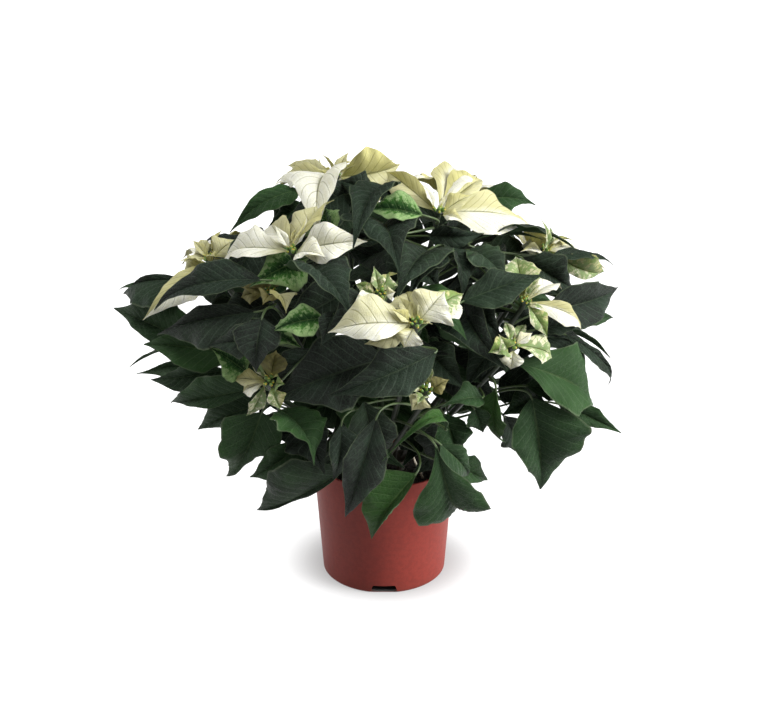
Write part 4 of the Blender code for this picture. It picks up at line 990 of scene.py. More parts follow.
def gapTry(across, upward, draw, size):
    one = seenTry(onCrown(across, upward, draw.uniform(*filler["gapSink"])), draw, size)
    if one:
        base, tip, width, face, bow = one
        past = (tip - base) * filler["pastMiddle"]
        if not coversOpening(base + past, tip + past, width):
            return base + past, tip + past, width, face, bow
    return None


def inPot(place):
    # On the soil or the inner wall, which the leaves hide
    return place.z < pot["height"] + 2 and math.hypot(place.x, place.y) < pot["topRadius"] + 1


def asSeen(point):
    # Across and upward of a point on the picture plane
    ray = point - eye
    scale = crown["pictureDistance"] / ray.dot(sight)
    return ray.x * scale, ray.dot(sightUp) * scale + crown["pictureMiddle"]


def fillerLook(height, draw):
    if draw.random() < filler["variegated"]:
        return "v"
    return "d" if draw.random() < (height - filler["greenBelow"]) / filler["darkOver"] else "g"


def bractletsOf(middle, axis, look, draw):
    # (tip, width, face, bow, look) of the small bracts that stand round the buds
    made = []
    start = draw.random()
    for k in range(bractlets["count"]):
        angle = 2 * math.pi * (k + start + draw.uniform(*bractlets["turns"])) / bractlets["count"]
        steep = math.radians(draw.uniform(*bractlets["steep"]))
        length = draw.uniform(*bractlets["length"])
        way, face = leaning(axis, around(axis, angle), steep)
        tip = middle + axis * bractlets["rise"] + way * (length + seat["root"])
        made.append((tip, length * draw.uniform(*bractlets["width"]), face, bractlets["bow"], look))
    return made


# Fine blades: rows and columns of each sheet, its half width from base to tip, its bulge beside the midrib,
# and the ripple and teeth of its edge
fine = {
    "seed": 11, "rows": 46, "columns": 15, "hiddenRows": 20, "hiddenColumns": 9,
    "smallShare": 0.7, "greenSpread": 0.18,
    "crowding": 1.5,  # of the columns at the midrib
    "bulge": 0.17, "ripple": 0.07, "leafFold": math.radians(19),
    "curl": 0.04,  # of the length, at the tip
    "curlFrom": 0.6,
    "rollFrom": 0.6,  # the share of the half width from where an edge rolls over
    "twist": math.radians(22), "twistTurn": 5.1, "twistMiddle": 0.35, "stretch": 1.04, "baseTaper": 8,
    "rippleCount": 4.7, "rippleTurn": 3, "rippleShift": 0.4, "rippleSteepness": 3, "tooth": 0.10,
    "toothCount": 3.4, "toothTurn": 5, "toothShift": 0.37, "toothSteepness": 2.5,
    "leafOutline": (
        (0, 0.03), (0.05, 0.30), (0.13, 0.68), (0.23, 0.94), (0.34, 1.03), (0.46, 0.93), (0.58, 0.71),
        (0.70, 0.46), (0.80, 0.27), (0.88, 0.145), (0.94, 0.075), (1, 0.02),
    ),
    "bractOutline": (
        (0, 0.03), (0.07, 0.22), (0.2, 0.62), (0.33, 0.96), (0.44, 1.04), (0.57, 0.90), (0.70, 0.60),
        (0.82, 0.30), (0.90, 0.13), (0.95, 0.05), (1, 0.012),
    ),
}
reliefInputs = ("Vein Pairs", "Vein Slant", "Relief", "Groove", "Thickness")
leafRelief = dict(zip(reliefInputs, (12.0, 0.20, 0.00085, 0.0002, 0.0004)))
bractRelief = dict(zip(reliefInputs, (10.0, 0.22, 0.00028, 0.0003, 0.0003)))
# Greenness, mottling and creaminess of each look
looks = {
    "d": (0.0, 0.0, 0.0),
    "g": (0.5, 0.0, 0.0),
    "b": (1.0, 0.06, 0.0),
    "v": (1.0, 1.0, 0.0),
    "c": (0.0, 0.0, 1.0),
    "y": (0.35, 0.0, 0.3),
    "o": (0.95, 0.0, 0.0),
    "m": (0.9, 0.8, 0.6),
}


# Blades whose form the rule misses. Right and left are the shares of the width on each hand, going from base
# to tip, and curl is how far over an edge rolls, in degrees.
reshapedLeaves = {
    0: {"right": 0.6}, 2: {"right": 0.6}, 3: {"right": 0.2, "left": 1.6}, 4: {"right": 0.4},
    5: {"left": 0.65}, 6: {"right": 0.45, "left": 1.1}, 7: {"right": 0.85, "left": 0.65},
    9: {"right": 1.2, "left": 1.5, "face": (0, 0.1)}, 11: {"right": 0.3, "left": 0.9, "bow": 0.2},
    12: {"right": 0.6}, 13: {"left": 0.4}, 14: {"left": 0.6, "peak": 0.8}, 15: {"right": 1.3, "left": 1.3},
    17: {"right": 1.2, "left": 0.85, "peak": 0.55, "shift": (-3, -4, 0)}, 18: {"right": 0.8},
    20: {"right": 1.5, "left": 0.15}, 21: {"right": 1.3, "left": 0.95}, 22: {"right": 0.5, "left": 0.8},
    23: {"right": 0.8, "left": 0.85}, 24: {"right": 1.7, "left": 0.45, "curl": 75, "side": -1},
    29: {"right": 1.1, "left": 1.4}, 30: {"right": 1.4, "left": 1.4}, 33: {"left": 1.3},
    34: {"right": 0.5, "left": 0.45, "bow": 2}, 39: {"right": 1.5, "left": 1.5, "stretch": 1.25},
    40: {"left": 0.85, "tooth": 2.2}, 42: {"left": 1.1, "right": 1.3}, 45: {"right": 1.35},
    46: {"left": 0.6, "right": 0.85}, 47: {"left": 0.6, "bow": 0.4}, 49: {"left": 0.9, "right": 0.85},
    53: {"left": 0.4, "bow": 0.7},
    54: {"right": 0.95, "left": 1, "face": (0.1, 0.4), "peak": 1.4, "shift": (7, 0, 0), "tooth": 2.2},
    56: {"right": 0.6, "left": 0.7, "stretch": 1.04, "tooth": 1.6},
    57: {"right": 0.8, "left": 1.35, "peak": 0.95, "tooth": 1.4}, 58: {"right": 0.8},
    60: {"right": 1.4, "left": 0.9, "curl": 105, "side": 1}, 63: {"left": 0.65, "right": 1.3},
    64: {"right": 1.3, "left": 1.1, "peak": 1.7, "face": (-0.15, 0.1), "shift": (4, 5, 0)},
    65: {"right": 0.8},
}
reshapedBracts = {
    (0, 0): {"right": 1, "left": 0.85}, (0, 2): {"right": 0.85, "left": 0.55, "peak": 0.8},
    (2, 1): {"right": 0.7, "left": 1.1}, (2, 2): {"right": 1.1, "left": 1, "bow": 0.3},
    (2, 3): {"right": 0.6, "left": 0.6, "bow": 0.3}, (3, 0): {"right": 0.65},
    (1, 2): {"right": 1.2, "left": 1.2, "shift": (26, 16, 0)}, (2, 4): {"peak": 0.8},
    (3, 1): {"right": 0.9, "left": 0.75, "peak": 1.3},
    (3, 2): {"right": 0.9, "left": 1.6, "bow": 0.1, "peak": 1.3, "shift": (7, -2, 0)},
    (3, 3): {"left": 0.62, "right": 1.1, "peak": 0.85, "bow": 0.7},
    (3, 4): {"left": 0.4, "right": 0.8, "bow": 0.4, "shift": (-4, 0, 30)},
    (4, 2): {"left": 1.1, "right": 0.5}, (6, 0): {"left": 0.8, "right": 0.8},
    (6, 1): {"left": 0.8, "right": 0.8}, (6, 3): {"left": 0.75, "right": 0.75},
    (6, 4): {"left": 0.65, "right": 0.65}, (7, 3): {"left": 0.4, "right": 0.8}, (8, 0): {"left": 0.4},
    (8, 3): {"left": 1.3, "right": 0.6},
    **{(16, number): {"stretch": 0.78} for number in range(12)},
}


def ownForm(shape):
    step = blade["characterStep"]
    if shape.fold == blade["leafFold"]:
        return reshapedLeaves.get(round(shape.character / step), {})
    for (bloom, number), form in reshapedBracts.items():
        if abs(bloom + number * step - shape.character) < 0.001:
            return form
    return {}


def sheetSize(shape, length):
    # Rows and columns of a sheet
    hidden = shape.stations == blade["tinyStations"]
    rowCount = fine["hiddenRows"] if hidden else fine["rows"]
    columnCount = fine["hiddenColumns"] if hidden else fine["columns"]
    return int(rowCount * fine["smallShare"]) if length < blade["small"] else rowCount, columnCount


def bladeSheet(shape, outlinePoints, tooth):
    # Places and values of a fine sheet over the coarse blade's chord, arch, fold and edges
    own = ownForm(shape)
    over, above, deeper = own.get("shift", (0, 0, 0))
    tip = shape.tip + right * over + up * above + sight * deeper
    chord = (tip - shape.base) * (fine["stretch"] * own.get("stretch", 1))
    length = chord.length
    rowCount, columnCount = sheetSize(shape, length)
    normal = levelWith(facing(*own["face"]) if "face" in own else shape.face, chord.normalized())
    flatSide, flatNormal = np.array(chord.normalized().cross(normal)), np.array(normal)
    chord, base = np.array(chord), np.array(shape.base)
    steps = np.linspace(-1, 1, columnCount)
    across = np.sign(steps) * np.abs(steps) ** fine["crowding"]
    bow = shape.bow * own.get("bow", 1)
    twist = fine["twist"] * math.sin(shape.character * fine["twistTurn"])
    alongs = np.linspace(0, 1, rowCount)
    places = []
    for share in alongs:
        turn = twist * (share - fine["twistMiddle"])
        side = flatSide * math.cos(turn) + flatNormal * math.sin(turn)
        normal = flatNormal * math.cos(turn) - flatSide * math.sin(turn)
        past = max(0, share - fine["curlFrom"]) / (1 - fine["curlFrom"])
        arch = 4 * bow * share * (1 - share) - fine["curl"] * past**2
        rib = base + chord * share + flatNormal * (arch * length)
        row = np.zeros((columnCount, 3))
        for sign in (-1, 1):
            flat, lift = halfRow(shape, own, outlinePoints, tooth, share, sign, across)
            chosen = across * sign >= 0
            row[chosen] = (rib + side * flat[:, None] + normal * lift[:, None])[chosen]
        places.append(row)
    across = np.tile(across, rowCount)
    # How high each point's hand lies, which the skins use to paint shade on a blade's upper hand
    upper = across * flatSide[2] / np.linalg.norm(flatSide)
    return np.array(places).reshape(-1, 3), np.repeat(alongs, columnCount), across, upper, columnCount


def halfRow(shape, own, outlinePoints, tooth, share, sign, across):
    # How far out and how high above the midrib a row lies, with this hand's edge
    reach = np.abs(across)
    fold = fine["leafFold"] if shape.fold == blade["leafFold"] else shape.fold
    factor, wave = edgeOf(share, sign, shape.character)
    depth = tooth * own.get("tooth", 1)
    turns = fine["toothCount"] * share + shape.character * fine["toothTurn"] + fine["toothShift"] * sign
    factor *= 1 + depth * (2 * abs(turns % 1 - 0.5)) ** fine["toothSteepness"] - depth / 3
    shares, halves = zip(*outlinePoints)
    half = float(np.interp(share ** own.get("peak", 1), shares, halves)) * shape.width / 2 * factor
    least = stalk["width"] / 2 * max(0, 1 - share * fine["baseTaper"])
    half = max(half * own.get("right" if sign > 0 else "left", 1), least)
    swell = fine["bulge"] * 4 * reach * (1 - reach) * half * math.sin(math.pi * share)
    turns = fine["rippleCount"] * share + shape.character * fine["rippleTurn"] + fine["rippleShift"] * sign
    ripple = fine["ripple"] * half * math.sin(2 * math.pi * turns) * reach ** fine["rippleSteepness"]
    lift = (half * math.sin(fold) + wave * shape.width) * reach + swell + ripple
    if own.get("side") != sign:
        return across * half * math.cos(fold), lift
    out, rise = rolled(reach, half, math.radians(own["curl"]) * math.sin(math.pi * share))
    return sign * out * math.cos(fold), lift + rise


def rolled(reach, half, amount):
    # Flat reach and lift of the outer part of a blade whose edge rolls over
    start = fine["rollFrom"]
    past = np.maximum(0, reach - start)
    angle = amount * past / (1 - start)
    return np.minimum(reach, start) * half + past * half * np.cos(angle), past * half * np.sin(angle)


def meshObject(name, places, edges, faces, values):
    # A mesh with these numbers on its points
    mesh = bpy.data.meshes.new(name)
    mesh.from_pydata(places, edges, faces)
    for key, numbers in values.items():
        mesh.attributes.new(key, "FLOAT", "POINT").data.foreach_set("value", numbers)
    return linked(name, mesh)


def sheetsObject(blades, name, outlinePoints, tooth, draw):
    # All the sheets of one piece, with along and across of each blade and its look's values on its points
    places, faces, first = [], [], 0
    values = {key: [] for key in ("along", "across", "upper", "tone", "green", "mottle", "cream", "size")}
    for shape in blades:
        points, along, across, upper, columns = bladeSheet(shape, outlinePoints, tooth)
        index = np.arange(len(points)).reshape(-1, columns) + first
        corners = (index[:-1, :-1], index[:-1, 1:], index[1:, 1:], index[1:, :-1])
        faces.append(np.stack([corner.ravel() for corner in corners], 1))
        places.append(points * mm)
        green, mottle, cream = looks[shape.look]
        green += draw.uniform(-fine["greenSpread"], fine["greenSpread"])
        size = (shape.tip - shape.base).length / 100
        own = (along, across, upper, draw.random(), green, mottle, cream, size)
        for key, value in zip(values, own):
            values[key].append(np.broadcast_to(value, len(points)))
        first += len(points)
    values = {key: np.concatenate(parts).astype(np.float32) for key, parts in values.items()}
    return meshObject(name, np.concatenate(places).tolist(), [], np.concatenate(faces).tolist(), values)


materialInput = ("Material", "NodeSocketMaterial", None)


def newGeometryTree(name, inputs):
    # inputs are (name, socket type, default)
    group = bpy.data.node_groups.new(name, "GeometryNodeTree")
    group.interface.new_socket("Geometry", in_out="INPUT", socket_type="NodeSocketGeometry")
    group.interface.new_socket("Geometry", in_out="OUTPUT", socket_type="NodeSocketGeometry")
    for label, kind, default in inputs:
        socket = group.interface.new_socket(label, in_out="INPUT", socket_type=kind)
        if default is not None:
            socket.default_value = default
    tree = NodeTree(group)
    return tree, tree.node("NodeGroupInput").outputs


def closeTree(tree, geometry, material):
    real = tree.out("GeometryNodeRealizeInstances", {"Geometry": geometry})
    clad = tree.out("GeometryNodeSetMaterial", {"Geometry": real, "Material": material})
    tree.feed(tree.node("NodeGroupOutput").inputs[0], clad)
    return tree.tree


def grown(made, group, values, name, sharp=55):
    # Runs a Geometry Nodes tree on the object with these inputs, and returns the finished plain piece
    modifier = made.modifiers.new(group.name, "NODES")
    modifier.node_group = group
    for item in group.interface.items_tree:
        if item.in_out == "INPUT" and item.name in values:
            modifier[item.identifier] = values[item.name]
    return settled(made, name, sharp)


def namedValue(tree, name):
    return tree.number("GeometryNodeInputNamedAttribute", {"Name": name}, {"data_type": "FLOAT"})


def joinedBranches(tree, *branches):
    joint = tree.node("GeometryNodeJoinGeometry")
    for branch in branches:
        tree.feed(joint.inputs[0], branch)
    return joint.outputs[0]


def bladeTree():
    # Presses the veins into a sheet and gives it its thickness, with its underside marked
    inputs = [(name, "NodeSocketFloat", 0.0) for name in reliefInputs] + [materialInput]
    tree, given = newGeometryTree("bladeRelief", inputs)
    pairs, slant, relief, groove, thickness = (Number(tree, given[name]) for name in reliefInputs)
    along, reach, size = namedValue(tree, "along"), abs(namedValue(tree, "across")), namedValue(tree, "size")
    veins = ((along - slant * reach) * veinCount(pairs, size) * (2 * math.pi)).math("COSINE")
    inside = (1 - reach**4) * (along * math.pi).math("SINE")
    rib = 1 - tree.smooth(reach, 0.0, 0.14)
    height = -(veins * relief * inside * (1 - rib)) * size - rib * groove * inside - thickness / 2
    offset = scaled(tree, tree.out("GeometryNodeInputNormal"), height)
    low = tree.out("GeometryNodeSetPosition", {"Geometry": given["Geometry"], "Offset": offset})
    raised = {"Mesh": low, "Offset Scale": thickness, "Individual": False}
    over = tree.out("GeometryNodeExtrudeMesh", raised)
    under = tree.out("GeometryNodeFlipFaces", {"Mesh": low})
    under = marked(tree, under, "under", 1.0, "FACE")
    closed = {"Geometry": joinedBranches(tree, over, under), "Distance": 0.00002}
    return closeTree(tree, tree.out("GeometryNodeMergeByDistance", closed), given["Material"])


def scaled(tree, vector, size):
    return tree.out("ShaderNodeVectorMath", {0: vector, "Scale": size}, {"operation": "SCALE"})


def marked(tree, geometry, name, value, domain):
    values = {"Geometry": geometry, "Name": name, "Value": value}
    return tree.out("GeometryNodeStoreNamedAttribute", values, {"data_type": "FLOAT", "domain": domain})


def veinCount(pairs, size):
    # A short blade has fewer pairs of veins than a long one
    return (pairs - 4) * size + 4


def attr(tree, name):
    # A value that each blade's points carry
    return tree.number("ShaderNodeAttribute", None, {"attribute_name": name}, 2)


def attrs(tree, names):
    return [attr(tree, name) for name in names.split()]


def veinMasks(tree, relief):
    # 1 on the side veins, on the midrib, and in the fine net between them
    along, across, size, tone = attrs(tree, "along across size tone")
    reach = abs(across)
    turns = (along - relief["Vein Slant"] * reach) * veinCount(relief["Vein Pairs"], size)
    near = abs(turns.math("FRACT") - 0.5)
    veins = tree.smooth(near, 0.41, 0.49) * tree.smooth(reach, 0.98, 0.75)
    rib = tree.smooth(reach, 0.045, 0.012)
    cell = {0: along * 60 * size, 1: across * 14 * size, 2: tone * 9}
    place = {"Vector": tree.out("ShaderNodeCombineXYZ", cell), "Scale": 1.0}
    edges = {"feature": "DISTANCE_TO_EDGE"}
    net = tree.smooth(tree.number("ShaderNodeTexVoronoi", place, edges), 0.12, 0.02)
    return veins, rib, net, reach, along, near


def leafSkin():
    # Satin dark leaf with faint pale veins. A green leaf is livelier, and a young one has pale mottling.
    material, tree, shader = newMaterial("leafSkin", specular=0.11, subsurface=0.03, radius=(0.3, 1, 0.2))
    veins, rib, net, reach, _, near = veinMasks(tree, leafRelief)
    green, tone, upper, mottle, under = attrs(tree, "green tone upper mottle under")
    cloud, flecks = spot(tree, 45.0), spot(tree, 300.0, 4.0, 0.7)
    speckle = tree.smooth(spot(tree, 560.0, 4.0, 0.8), 0.47, 0.62)
    # Brown patches at random, with painted shade: the upper hand of a blade darker and browner
    brownPatchesAndUpperShade = tree.smooth(cloud + tone * 0.3 + tree.smooth(upper, -0.1, 0.2) * 0.15, 0.60, 0.80)
    mid = tree.mix(tone, (0.0180, 0.0470, 0.0145), (0.0390, 0.0900, 0.0290))
    bright = tree.mix(cloud, (0.014, 0.050, 0.009), (0.050, 0.130, 0.021))
    lively = tree.smooth(reach + cloud * 0.6, 0.75, 1.35) * tree.smooth(green, 0.2, 0.8)
    young = tree.mix(tree.smooth(reach + cloud * 0.7, 0.5, 1.15), (0.011, 0.046, 0.009), (0.075, 0.24, 0.032))
    pale = tree.smooth(flecks * 0.75 + reach * 0.34 + (0.5 - near) * 0.12, 0.52, 0.66)
    colour = tree.layered(
        tree.mix(tone, (0.0118, 0.0200, 0.0120), (0.0295, 0.0495, 0.0300)),
        (brownPatchesAndUpperShade * 0.75, (0.0125, 0.0120, 0.0115)),
        (tree.smooth(green + cloud * 0.5 - 0.25, 0.0, 0.55), mid),
        (tree.smooth(green, 0.62, 1.05), bright),
        (lively * 0.55, (0.035, 0.105, 0.017)),
        (speckle * 0.50, tree.mix(green, (0.055, 0.083, 0.058), (0.058, 0.125, 0.042))),
        (mottle, tree.mix(pale * 0.72, young, (0.40, 0.55, 0.25))),
        (net * 0.22, tree.mix(green, (0.040, 0.060, 0.042), (0.045, 0.100, 0.034))),
        (veins * 0.60, tree.mix(green, (0.078, 0.108, 0.078), (0.100, 0.190, 0.062))),
        (rib * 0.65, tree.mix(green, (0.085, 0.115, 0.072), (0.13, 0.22, 0.070))),
        (tree.smooth(reach, 0.93, 0.985) * 0.55, (0.13, 0.17, 0.095)),
        (under * 0.85, (0.065, 0.125, 0.055)),
    )
    relief = net * 0.5 - veins * 0.5 + flecks * 0.6 + speckle * 0.35
    dress(tree, shader, colour, cloud * 0.2 + under * 0.15 + veins * 0.06 + 0.36, (relief, 0.8, 0.0007))
    return material


def bractSkin():
    # Cream bract, thin enough for the light to come through yellow, olive towards its base, with thin darker
    # veins and a dark line along the midrib. Painted shade: olive on its upper hand, yellow between the veins
    # and on its underside, and dark olive all over an o bract
    even = {"specular": 0.2, "subsurface": 0.3, "radius": (1, 0.95, 0.6), "depth": 0.0015}
    material, tree, shader = newMaterial("bractSkin", **even)
    veins, rib, net, reach, along, near = veinMasks(tree, bractRelief)
    green, cream, upper, mottle, under, tone = attrs(tree, "green cream upper mottle under tone")
    cloud, flecks, grain = spot(tree, 60.0), spot(tree, 170.0, 4.0, 0.65), spot(tree, 620.0, 3.0, 0.7)
    yellow = tree.mix(cloud, (0.38, 0.36, 0.11), (0.64, 0.61, 0.27))
    # Painted deep shade: an o bract is dark brownish olive all over
    paintedShadeOlive = tree.smooth(green, 0.6, 0.8) * tree.smooth(cream, 0.2, 0.05)
    # Painted shade on the upper hand: olive, with darker veins
    shaded = tree.smooth(upper + cloud * 0.2, 0.05, 0.30) * tree.smooth(tone, 0.0, 0.6) * (1 - paintedShadeOlive)
    # Painted shade in the hollows between the veins: yellow
    between = tree.smooth(near, 0.46, 0.10) * tree.smooth(cloud + tone * 0.25 + along * 0.3, 0.5, 0.85)
    patch = tree.smooth(flecks + veins * 0.10 + (1 - reach) * 0.12 + rib * 0.2, 0.46, 0.58)
    colour = tree.layered(
        yellow,
        (cream, tree.mix(cloud, (0.88, 0.87, 0.69), (0.97, 0.965, 0.87))),
        (paintedShadeOlive * 0.8, (0.14, 0.12, 0.055)),
        (shaded * 0.82, tree.mix(cloud, (0.36, 0.33, 0.10), (0.58, 0.55, 0.23))),
        (between * 0.25, (0.50, 0.47, 0.18)),
        (tree.smooth(along + cloud * 0.3, 0.45, 0.10) * 0.8, (0.37, 0.36, 0.09)),
        (tree.smooth(grain, 0.48, 0.66) * 0.24, (0.50, 0.47, 0.20)),
        (mottle * patch * 0.94, tree.mix(cloud, (0.030, 0.115, 0.012), (0.12, 0.31, 0.035))),
        (veins * (1 - paintedShadeOlive) * (shaded * 0.2 + 0.5), (0.25, 0.23, 0.06)),
        (net * 0.14, (0.44, 0.42, 0.16)),
        (rib * (green * 0.4 + 0.6), (0.13, 0.14, 0.04)),
        # Painted shade on the underside: yellow-olive
        (under * 0.6, (0.50, 0.47, 0.18)),
    )
    relief = net * 0.4 - veins * 0.7 - rib * 0.8 + grain * 0.4
    dress(tree, shader, colour, cloud * 0.2 + under * 0.1 + 0.45, (relief, 0.6, 0.0006))
    return material


def placePiece(piece, slotName, *nodes):
    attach(piece, "root")
    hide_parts(*nodes)


# Shoots and petioles are tubes along paths. A shoot swells a little at each old leaf scar and ends in a knob.
shootSides = 12
petiole = {"radius": 0.95, "rootRadius": 1.4, "steps": 9}
scars = {"every": 17, "swell": 0.06}
knob = ((-1.6, 2.5), (0.2, 4.0), (1.6, 4.3), (2.6, 2.8))


def smoothPath(points, steps=5):
    # Catmull-Rom curve through the points
    ends = [points[0] * 2 - points[1], *points, points[-1] * 2 - points[-2]]
    path = []
    for i in range(1, len(ends) - 2):
        a, b, c, d = ends[i - 1 : i + 3]
        for k in range(steps):
            t = k / steps
            bent = b * 2 + (c - a) * t + (a * 2 - b * 5 + c * 4 - d) * t**2
            path.append((bent + (b * 3 - a - c * 3 + d) * t**3) / 2)
    return path + [points[-1]]


def pathsObject(paths, name):
    # Loose runs of edges. Each path is (points, radii, age), and age is 0 in a petiole and 1 in an old trunk.
    places, edges, radii, ages = [], [], [], []
    for points, widths, age in paths:
        first = len(places)
        places += [tuple(point * mm) for point in points]
        edges += [(first + k, first + k + 1) for k in range(len(points) - 1)]
        radii += [width * mm for width in widths]
        ages += [age] * len(points)
    return meshObject(name, places, edges, [], {"girth": radii, "age": ages})


def tubeTree():
    tree, given = newGeometryTree("tubesAlongPaths", [("Sides", "NodeSocketInt", shootSides), materialInput])
    curves = tree.out("GeometryNodeMeshToCurve", {"Mesh": given["Geometry"]})
    circle = {"Resolution": given["Sides"], "Radius": 1.0}
    ring = tree.out("GeometryNodeCurvePrimitiveCircle", circle, {"mode": "RADIUS"})
    values = {"Curve": curves, "Profile Curve": ring, "Fill Caps": True, "Scale": namedValue(tree, "girth")}
    return closeTree(tree, tree.out("GeometryNodeCurveToMesh", values), given["Material"])


def stemSkin():
    # Green young shoots and petioles that turn brown and corky towards the soil
    material, tree, shader = newMaterial("stemSkin", subsurface=0.04)
    age, cloud = attr(tree, "age"), spot(tree, 120.0)
    fibres = spot(tree, 900.0, 2.0, 0.5, {"Scale": (1, 1, 0.2)})
    shoot = tree.mix(cloud, (0.010, 0.020, 0.007), (0.024, 0.038, 0.015))
    bark = tree.mix(fibres, (0.016, 0.013, 0.009), (0.060, 0.048, 0.030))
    woody = tree.smooth(heightIn(tree) + cloud * 0.05, 0.22, 0.12) * tree.smooth(age, 0.4, 0.6)
    young = tree.mix(cloud, (0.045, 0.080, 0.024), (0.10, 0.15, 0.05))
    colour = tree.layered(young, (tree.smooth(age, 0.1, 0.5), shoot), (woody, bark))
    dress(tree, shader, colour, woody * 0.35 + 0.42, (fibres, 0.4, 0.0003))
    return material


def stemPaths(stem, shoots, own):
    foot = trunkPath(stem)
    radii = [stems["trunkRadius"], stems["trunkRadius"] * 0.97, stems["trunkRadius"] * 0.6]
    paths = [([*foot, foot[-1] + up * 2], radii, 1.0)]
    paths += [shootLine(*shoot[1:]) for shoot in shoots if shoot[0] == stem]
    return paths + [petioleLine(leaf) for leaf in own]


def shootLine(path, middle, axis):
    line = smoothPath(path)
    widths = shootRadii(line)
    run = 0
    for k in range(1, len(line)):
        run += (line[k] - line[k - 1]).length
        widths[k] *= 1 + scars["swell"] * math.cos(2 * math.pi * run / scars["every"])
    line += [middle + axis * level for level, _ in knob]
    return line, widths + [width for _, width in knob], 0.7


def petioleLine(leaf):
    base, leave, knee = kneeOf(leaf.stalk, bladeRows(leaf.blade))
    middle = (leaf.stalk + base) / 2 if leaf.blade.stations else knee
    line = bend(leaf.stalk, middle, base + leave * 2, petiole["steps"])
    fall = petiole["radius"] - petiole["rootRadius"]
    return line, [petiole["rootRadius"] + fall * min(1, k / 3) for k in range(len(line))], 0.0


# Buds: green cups with a yellow gland at the lip and a few stamens, clustered on the knob of each shoot
cup = {"radius": 1.7, "height": 4.4, "sides": 9, "gland": 0.85, "stamens": 4, "turn": 2.4, "circle": 0.5}
cupShares = ((0, 0), (0.45, 0.02), (0.82, 0.2), (1, 0.46), (0.92, 0.7), (0.66, 0.9), (0.42, 0.97), (0, 0.88))
cluster = {"seed": 9, "count": 6, "circle": 3.0, "lean": 0.42, "sizes": (0.72, 1.05), "rise": 1.6}


def budObject():
    profile = [(radius * cup["radius"], height * cup["height"]) for radius, height in cupShares]
    shape = turnedShape(profile, cup["sides"])
    kind = shape.verts.layers.float.new("kind")
    lip = Vector((cup["radius"] * 0.72, 0, cup["height"] * 0.84)) * mm
    addBall(shape, kind, 1, cup["gland"] * mm, lip, (0.7, 1.25, 0.6, 1))
    for k in range(cup["stamens"]):
        place = heading(cup["turn"] * k) * cup["circle"]
        place.z = cup["height"] * 1.12 + 0.25 * (k % 2)
        addBall(shape, kind, 0.6, mm, place * mm, (0.28, 0.28, 0.55, 1))
    return objectOf(shape, "budPattern")


def addBall(shape, kind, value, radius, place, stretch):
    # A small ball, stretched, whose points carry this value
    where = Matrix.Translation(place) @ Matrix.Diagonal(stretch)
    for vertex in bmesh.ops.create_icosphere(shape, subdivisions=1, radius=radius, matrix=where)["verts"]:
        vertex[kind] = value


def turnedShape(profile, steps, wobble=None):
    # A closed shape turned about Z, whose profile starts and ends on the axis
    shape = bmesh.new()
    rings = []
    for radius, height in profile:
        if radius == 0:
            rings.append([shape.verts.new((0, 0, height * mm))] * steps)
            continue
        turns = [2 * math.pi * k / steps for k in range(steps)]
        ring = [Vector((math.cos(turn) * radius, math.sin(turn) * radius, height)) for turn in turns]
        rings.append([shape.verts.new((wobble(point) if wobble else point) * mm) for point in ring])
    for low, high in zip(rings, rings[1:]):
        for k in range(steps):
            corners = (low[k], low[(k + 1) % steps], high[(k + 1) % steps], high[k])
            shape.faces.new(list(dict.fromkeys(corners)))
    bmesh.ops.recalc_face_normals(shape, faces=shape.faces)
    return shape


def budPointsObject(middle, axis, draw, name):
    # One point for each bud, with the way it leans and its size
    places, leans, sizes = [], [], []
    for k in range(cluster["count"]):
        angle = 2 * math.pi * (k + draw.uniform(-0.2, 0.2)) / (cluster["count"] - 1)
        out = around(axis, angle) * (1 if k else 0)
        places.append((middle + axis * cluster["rise"] + out * cluster["circle"]) * mm)
        leans.extend((axis + out * cluster["lean"]).normalized())
        sizes.append(draw.uniform(*cluster["sizes"]))
    made = meshObject(name, places, [], [], {"budSize": sizes})
    made.data.attributes.new("lean", "FLOAT_VECTOR", "POINT").data.foreach_set("vector", leans)
    return made


def budTree():
    inputs = [("Bud", "NodeSocketObject", None), ("Seed", "NodeSocketInt", 0), materialInput]
    tree, given = newGeometryTree("budCluster", inputs)
    pattern = tree.out("GeometryNodeObjectInfo", {"Object": given["Bud"]}, output="Geometry")
    lean = tree.out("GeometryNodeInputNamedAttribute", {"Name": "lean"}, {"data_type": "FLOAT_VECTOR"})
    aligned = tree.out("FunctionNodeAlignRotationToVector", {"Vector": lean}, {"axis": "Z"})
    values = {"Points": given["Geometry"], "Instance": pattern, "Rotation": aligned}
    buds = tree.out("GeometryNodeInstanceOnPoints", {**values, "Scale": namedValue(tree, "budSize")})
    turn = randomVector(tree, (0, 0, 0), (0.2, 0.2, 2 * math.pi), given["Seed"])
    turned = tree.out("GeometryNodeRotateInstances", {"Instances": buds, "Rotation": turn})
    return closeTree(tree, turned, given["Material"])


def randomVector(tree, least, most, seed):
    values = {"Min": least, "Max": most, "Seed": seed}
    return tree.out("FunctionNodeRandomValue", values, {"data_type": "FLOAT_VECTOR"})


def budSkin():
    # Green cup, yellow gland and pale yellow stamens
    material, tree, shader = newMaterial("budSkin", subsurface=0.08, radius=(0.6, 1, 0.3))
    kind, cloud = attr(tree, "kind"), spot(tree, 300.0)
    colour = tree.layered(
        tree.mix(cloud, (0.07, 0.16, 0.025), (0.20, 0.33, 0.06)),
        (tree.smooth(kind, 0.2, 0.6), (0.62, 0.55, 0.13)),
        (tree.smooth(kind, 0.7, 1.0), (0.72, 0.47, 0.04)),
    )
    dress(tree, shader, colour, cloud * 0.3 + 0.25)
    return material


